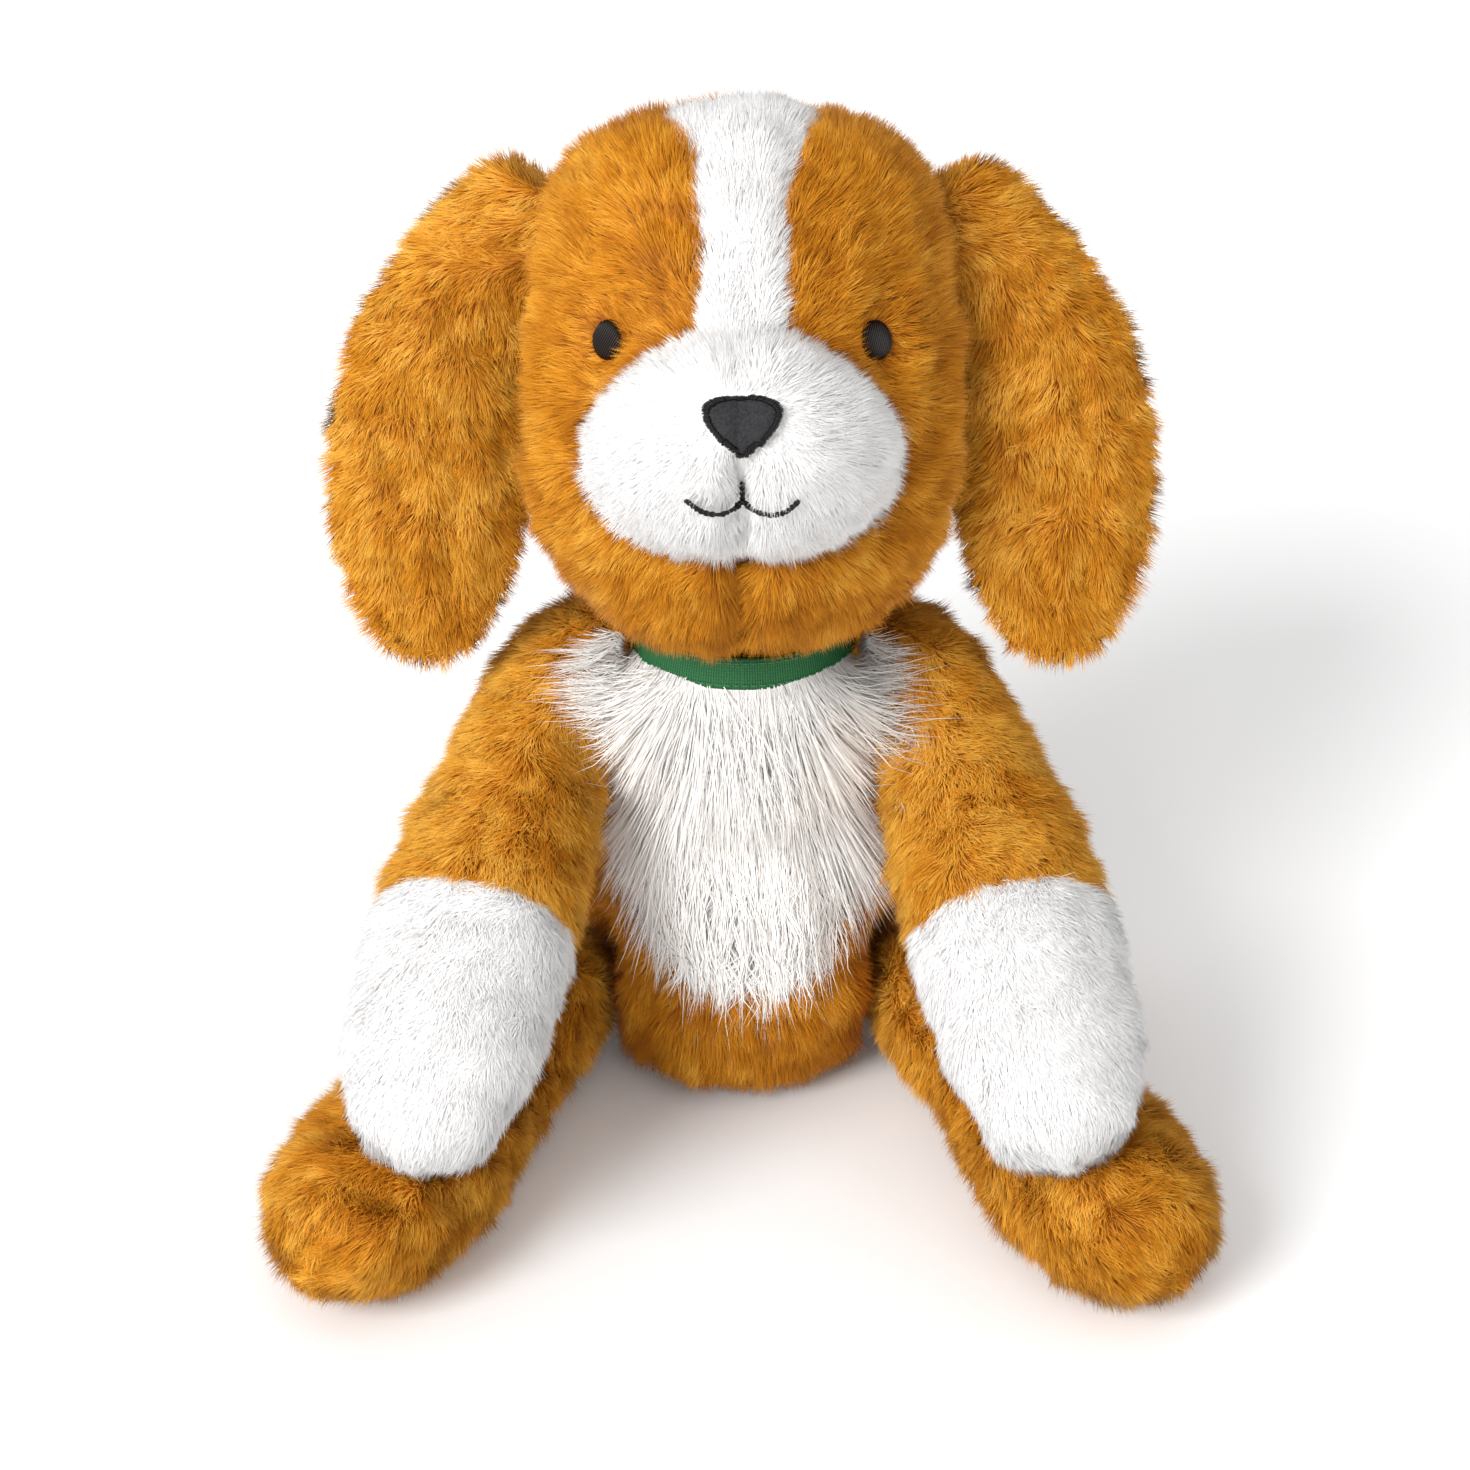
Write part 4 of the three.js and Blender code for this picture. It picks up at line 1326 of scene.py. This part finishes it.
def bib_roots(torso, rng):
    """Where the hairs grow and the normals there, which are the mane's, and its turns round the neck."""
    n = BIB_HAIRS
    low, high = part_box("chest_bib")
    at_roots = scatter(torso, BIB_ROOTS_PER_MM2, rng)
    on_bib = np.argmin(at_roots(torso.distances), axis=1) == torso.panels.index("chest_bib")
    root = at_roots(torso.points)[on_bib]
    normal = unit(at_roots(torso.normals)[on_bib])
    # More hairs grow near the collar than low on the chest
    share = (root[:, 2] - low.z) / (high.z - low.z)
    odds = (0.3 + share) * (share > 0.12) * (normal[:, 1] < -0.45)
    chosen = rng.choice(len(root), n, replace=False, p=odds / odds.sum())
    root, normal = root[chosen], normal[chosen]
    # The mane's hairs grow from under the collar instead
    mane = np.arange(n) < MANE * n
    turn = np.clip(rng.normal(0, BIB_SPREAD, n), -MANE_TURN, MANE_TURN)
    outward = np.stack([np.sin(turn), -np.cos(turn), np.zeros(n)], axis=1)
    ring, half = middle_and_half("collar_ribbon")
    half -= Vector((3, 3, 0)) * MM
    under = np.array(ring) + outward * (half.x, half.y, 0)
    under[:, 2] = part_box("collar_ribbon")[0].z + COLLAR_RISE + 1.5 * MM
    root[mane], normal[mane] = under[mane], outward[mane]
    return root, normal, mane, turn


def bib_hairs(torso, chest, limbs, seed):
    """One layer of the bib's hairs."""
    rng = np.random.default_rng(seed)
    root, normal, mane, turn = bib_roots(torso, rng)
    n = len(root)
    low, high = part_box("chest_bib")
    side = np.abs(root[:, 0])
    share = np.clip((root[:, 2] - low.z) / (high.z - low.z), 0, 1)
    centre, number = Worley(LOCK_SPACING, 73)(root)

    def jitter(size):
        return rng.normal(0, size, (n, 3))

    # The fan: sideways over the shoulders at the top, straight down in the middle and below
    splay = 0.12 + 0.88 * ease(side, 6 * MM, 27 * MM)
    sideways = root[:, 0] * (2.6 * share**3 * splay - 0.15)
    drop = np.where(mane, -38 * MM * np.cos(turn) ** 2 - 2 * MM, root[:, 2] - high.z - 5 * MM)
    fan = unit(np.stack([sideways, np.zeros(n), drop], axis=1))
    fan = unit(fan + jitter(0.12) + ((number - 0.5) * 0.4)[:, None] * np.array([1.0, 0, 0.25]))
    fan[mane] = unit(fan + jitter(0.22))[mane]
    length = np.clip((root[:, 2] - low.z) + 6 * MM, 16 * MM, 54 * MM)
    length += 7 * MM * (1 - ease(side, 0, 22 * MM)) * (1 - share)
    length *= rng.uniform(0.7, 1.12, n) * (0.75 + 0.5 * number)
    length[mane] = (MANE_LENGTH * rng.uniform(0.35, 1.1, n) * (0.8 + 0.4 * number))[mane]
    length *= 1 - 0.25 * ease(side, 14 * MM, 30 * MM)
    length *= np.where(rng.random(n) < WISPS, WISP_LENGTH, 1.0)
    lock = (centre - root) * (1, 0.3, 1)
    forward, down = np.array([0, -1.0, 0]), np.array([0, 0, -1.0])
    # Hairs at the sides come forward first, clear of the arms, and then turn out over them
    rush = ease(side, 8 * MM, 24 * MM)[:, None] * share[:, None]
    curl = unit(jitter(1.0)) * rng.uniform(0.08, 0.3, (n, 1))
    path = [root]
    for step in range(1, BIB_STEPS + 1):
        t = step / BIB_STEPS
        heading = forward * ((1.1 + 2.2 * rush) * (1 - t) ** 2 - 0.1 * (1 - rush))
        heading = heading + fan * (0.35 + 0.9 * t) + down * 0.5 * t + curl * t
        here = path[-1] + unit(heading) * (length / BIB_STEPS)[:, None] + lock * 0.2 * t
        here[:, 0] += LOCK_WAVE * np.sin(2 * math.pi * (t + number)) * t
        path.append(here)
    path = settled(np.stack(path, axis=1), rng.uniform(1.5, 10.0, n) * MM, chest, limbs)
    edge = ease(side, 14 * MM, 32 * MM)
    shade = 0.7 + 0.3 * (number - 0.5) + rng.normal(0, 0.12, n) * (1 + edge)
    shade = np.clip(shade - 0.35 * edge * mane, *MAP_ENDS)
    return hair_mesh(path, normal, shade, rng)


def hair_mesh(path, normal, shade, rng):
    """Three-sided hairs along paths, with normals and maps for their points."""
    n, stations, _ = path.shape
    rings = stations - 1
    tangent = unit(np.gradient(path, axis=1))
    a = across(rng.normal(size=(n, 1, 3)) + np.zeros((1, stations, 1)), tangent)
    b = np.cross(tangent, a)
    half = HAIR_WIDTH / 2 * np.linspace(1.0, HAIR_TAPER, stations)[None, :, None]
    way = np.tile(np.linspace(0.04, 0.85, rings), (n, 1))
    columns = []
    for out, step in round_strand(a, b):
        shades = np.tile((shade + step)[:, None], (1, rings))
        columns.append((
            (path + out * half)[:, :rings],
            unit(out * 0.26 + normal[:, None] * 0.8)[:, :rings],
            np.stack([shades, way], axis=2),
        ))
    tips = (
        path[:, -1:],
        unit(normal[:, None] * 0.7 + tangent[:, -1:] * 0.4),
        np.stack([shade[:, None], np.full((n, 1), MAP_ENDS[1])], axis=2),
    )
    arrays = []
    for column, tip in zip(zip(*columns), tips):
        body = np.stack(column, axis=2).reshape(n, rings * 3, -1)
        arrays.append(np.concatenate([body, tip], axis=1).reshape(-1, tip.shape[2]))
    points, normals, maps = arrays
    one = []
    for p, q, r, s in grid(rings, 3):
        one += [(p, q, s), (q, r, s)]
    last = (rings - 1) * 3
    one += [(last + k, last + (k + 1) % 3, rings * 3) for k in range(3)]
    triangles = np.arange(n)[:, None, None] * (rings * 3 + 1) + np.array(one)
    return points, triangles.reshape(-1, 3), normals, maps


# ------------------------------------------------------------------ neck, label and pellet bag

NECK_GROWTH = (1.62, 1.5, 1.05)


def make_neck():
    """A ring of pile that fills the gap between head and torso, over the neck's ball of stuffing."""
    neck = Skin("neck", "neck", ["neck_stuffing"], ["neck_stuffing"], 2.6)
    middle, _ = middle_and_half("neck_stuffing")
    neck.points = np.array(middle) + (neck.points - np.array(middle)) * NECK_GROWTH
    neck.measure()
    neck.room = np.full(len(neck.points), ROOM_REACH)
    strands = Strands(neck, 81, 2.2, 7 * MM, 50, along((0, 0, -1)))
    strands.comb()
    piece = furred_panel("neck_fur", neck, "neck_stuffing", strands, GOLD_PILE, 3)
    settle(piece, "neck", "stuffing", "neck_stuffing")


def make_pellet_bag():
    """A small cloth bag, lumpy with the pellets inside it."""
    points, triangles = shell_of(["pellet_bag"], 2.2 * MM)
    points = relaxed(points, triangles, 3)
    lumps = Field(5 * MM, 91)(points)
    points = points + corner_normals(points, triangles) * (0.35 * lumps - 0.6)[:, None] * MM
    piece = solid_piece("pellet_bag_cloth", [(points, triangles)], PELLET_CLOTH)
    settle(piece, "torso", "pellet_cloth", "pellet_bag")


LABEL_ROOT = 8 * MM  # inside the seam
LABEL_BULGE = 0.7 * MM
LABEL_SAG = 0.64 * MM
LABEL_STITCHES = 7


def make_label():
    """A blank satin ribbon, folded into a loop and sewn into the side seam."""
    low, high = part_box("care_label")
    middle = (low.y + high.y) / 2
    length, tall = high.x - low.x, high.z - low.z
    rows, stations = 12, 9
    profile = []
    for t in np.arange(rows + 1) / rows:
        bulge = LABEL_BULGE * math.sin(math.pi * min(1, t * 1.1))
        profile.append((low.x - LABEL_ROOT + (length + LABEL_ROOT) * t, middle - bulge))
    back = [(x, 2 * middle - y) for x, y in reversed(profile)]
    loop = profile + [(high.x + 0.5 * MM, middle)] + back
    inner = [(x - 0.25 * MM, middle + (y - middle) * 0.55) for x, y in loop]
    points = []
    for x, y in loop + inner:
        for share in np.arange(stations) / (stations - 1):
            sag = LABEL_SAG * ((x - low.x) / length) * math.sin(math.pi * share)
            points.append((x, y - sag, low.z + tall * share))
    behind = len(loop) * stations  # from a point of the outer face to the same point of the inner one
    triangles = []
    for a, b, c, d in grid(len(loop), stations, closed=False):
        triangles += [(a, d, c), (a, c, b)]
        triangles += [(a + behind, c + behind, d + behind), (a + behind, b + behind, c + behind)]
        if a % stations == 0:
            triangles += [(a, d + behind, d), (a, a + behind, d + behind)]
        if b % stations == stations - 1:
            triangles += [(b, c, c + behind), (b, c + behind, b + behind)]
    piece = solid_piece("care_label_loop", [(points, triangles)], LABEL_SATIN)
    settle(piece, "torso", "label_satin", "care_label")
    hems = []
    x, y = low.x + 0.2 * length, middle - 1.35 * MM
    for k in range(LABEL_STITCHES):
        z = low.z + tall * (k + 0.3) / LABEL_STITCHES
        stitch = ((0.3, 0), (-0.15, 0.3), (-0.15, 1.2), (0.3, 1.5))
        hems.append(tube([(x, y + out * MM, z + up * MM) for out, up in stitch], 0.16 * MM, 5))
    seam = solid_piece("care_label_stitches", hems, WHITE_THREAD)
    settle(seam, "torso", "label_satin", "care_label")


# ------------------------------------------------------------------ the whole dog

def make_dog():
    skins = make_skins()
    plump(skins.values())
    set_ears(skins)
    set_paws(skins)
    set_tail(skins["tail"])
    shape_face(skins["head"])
    for skin in skins.values():
        skin.groove_seams(SEAM_DEPTH, SEAM_WIDTH)
    make_covers(skins)
    face = Face(skins["head"])
    make_eyes(face)
    make_nose(face)
    make_mouth(face)
    make_collar()
    make_bib(skins["torso"], [skins["arm_left"], skins["arm_right"]])
    make_neck()
    make_pellet_bag()
    make_label()


def plain(*corners):
    return [[float(value) for value in corner] for corner in corners]


make_camera()
make_stage()
make_dog()
json.dumps({"before": plain(CAD_LOW, CAD_HIGH), "after": plain(*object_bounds())})
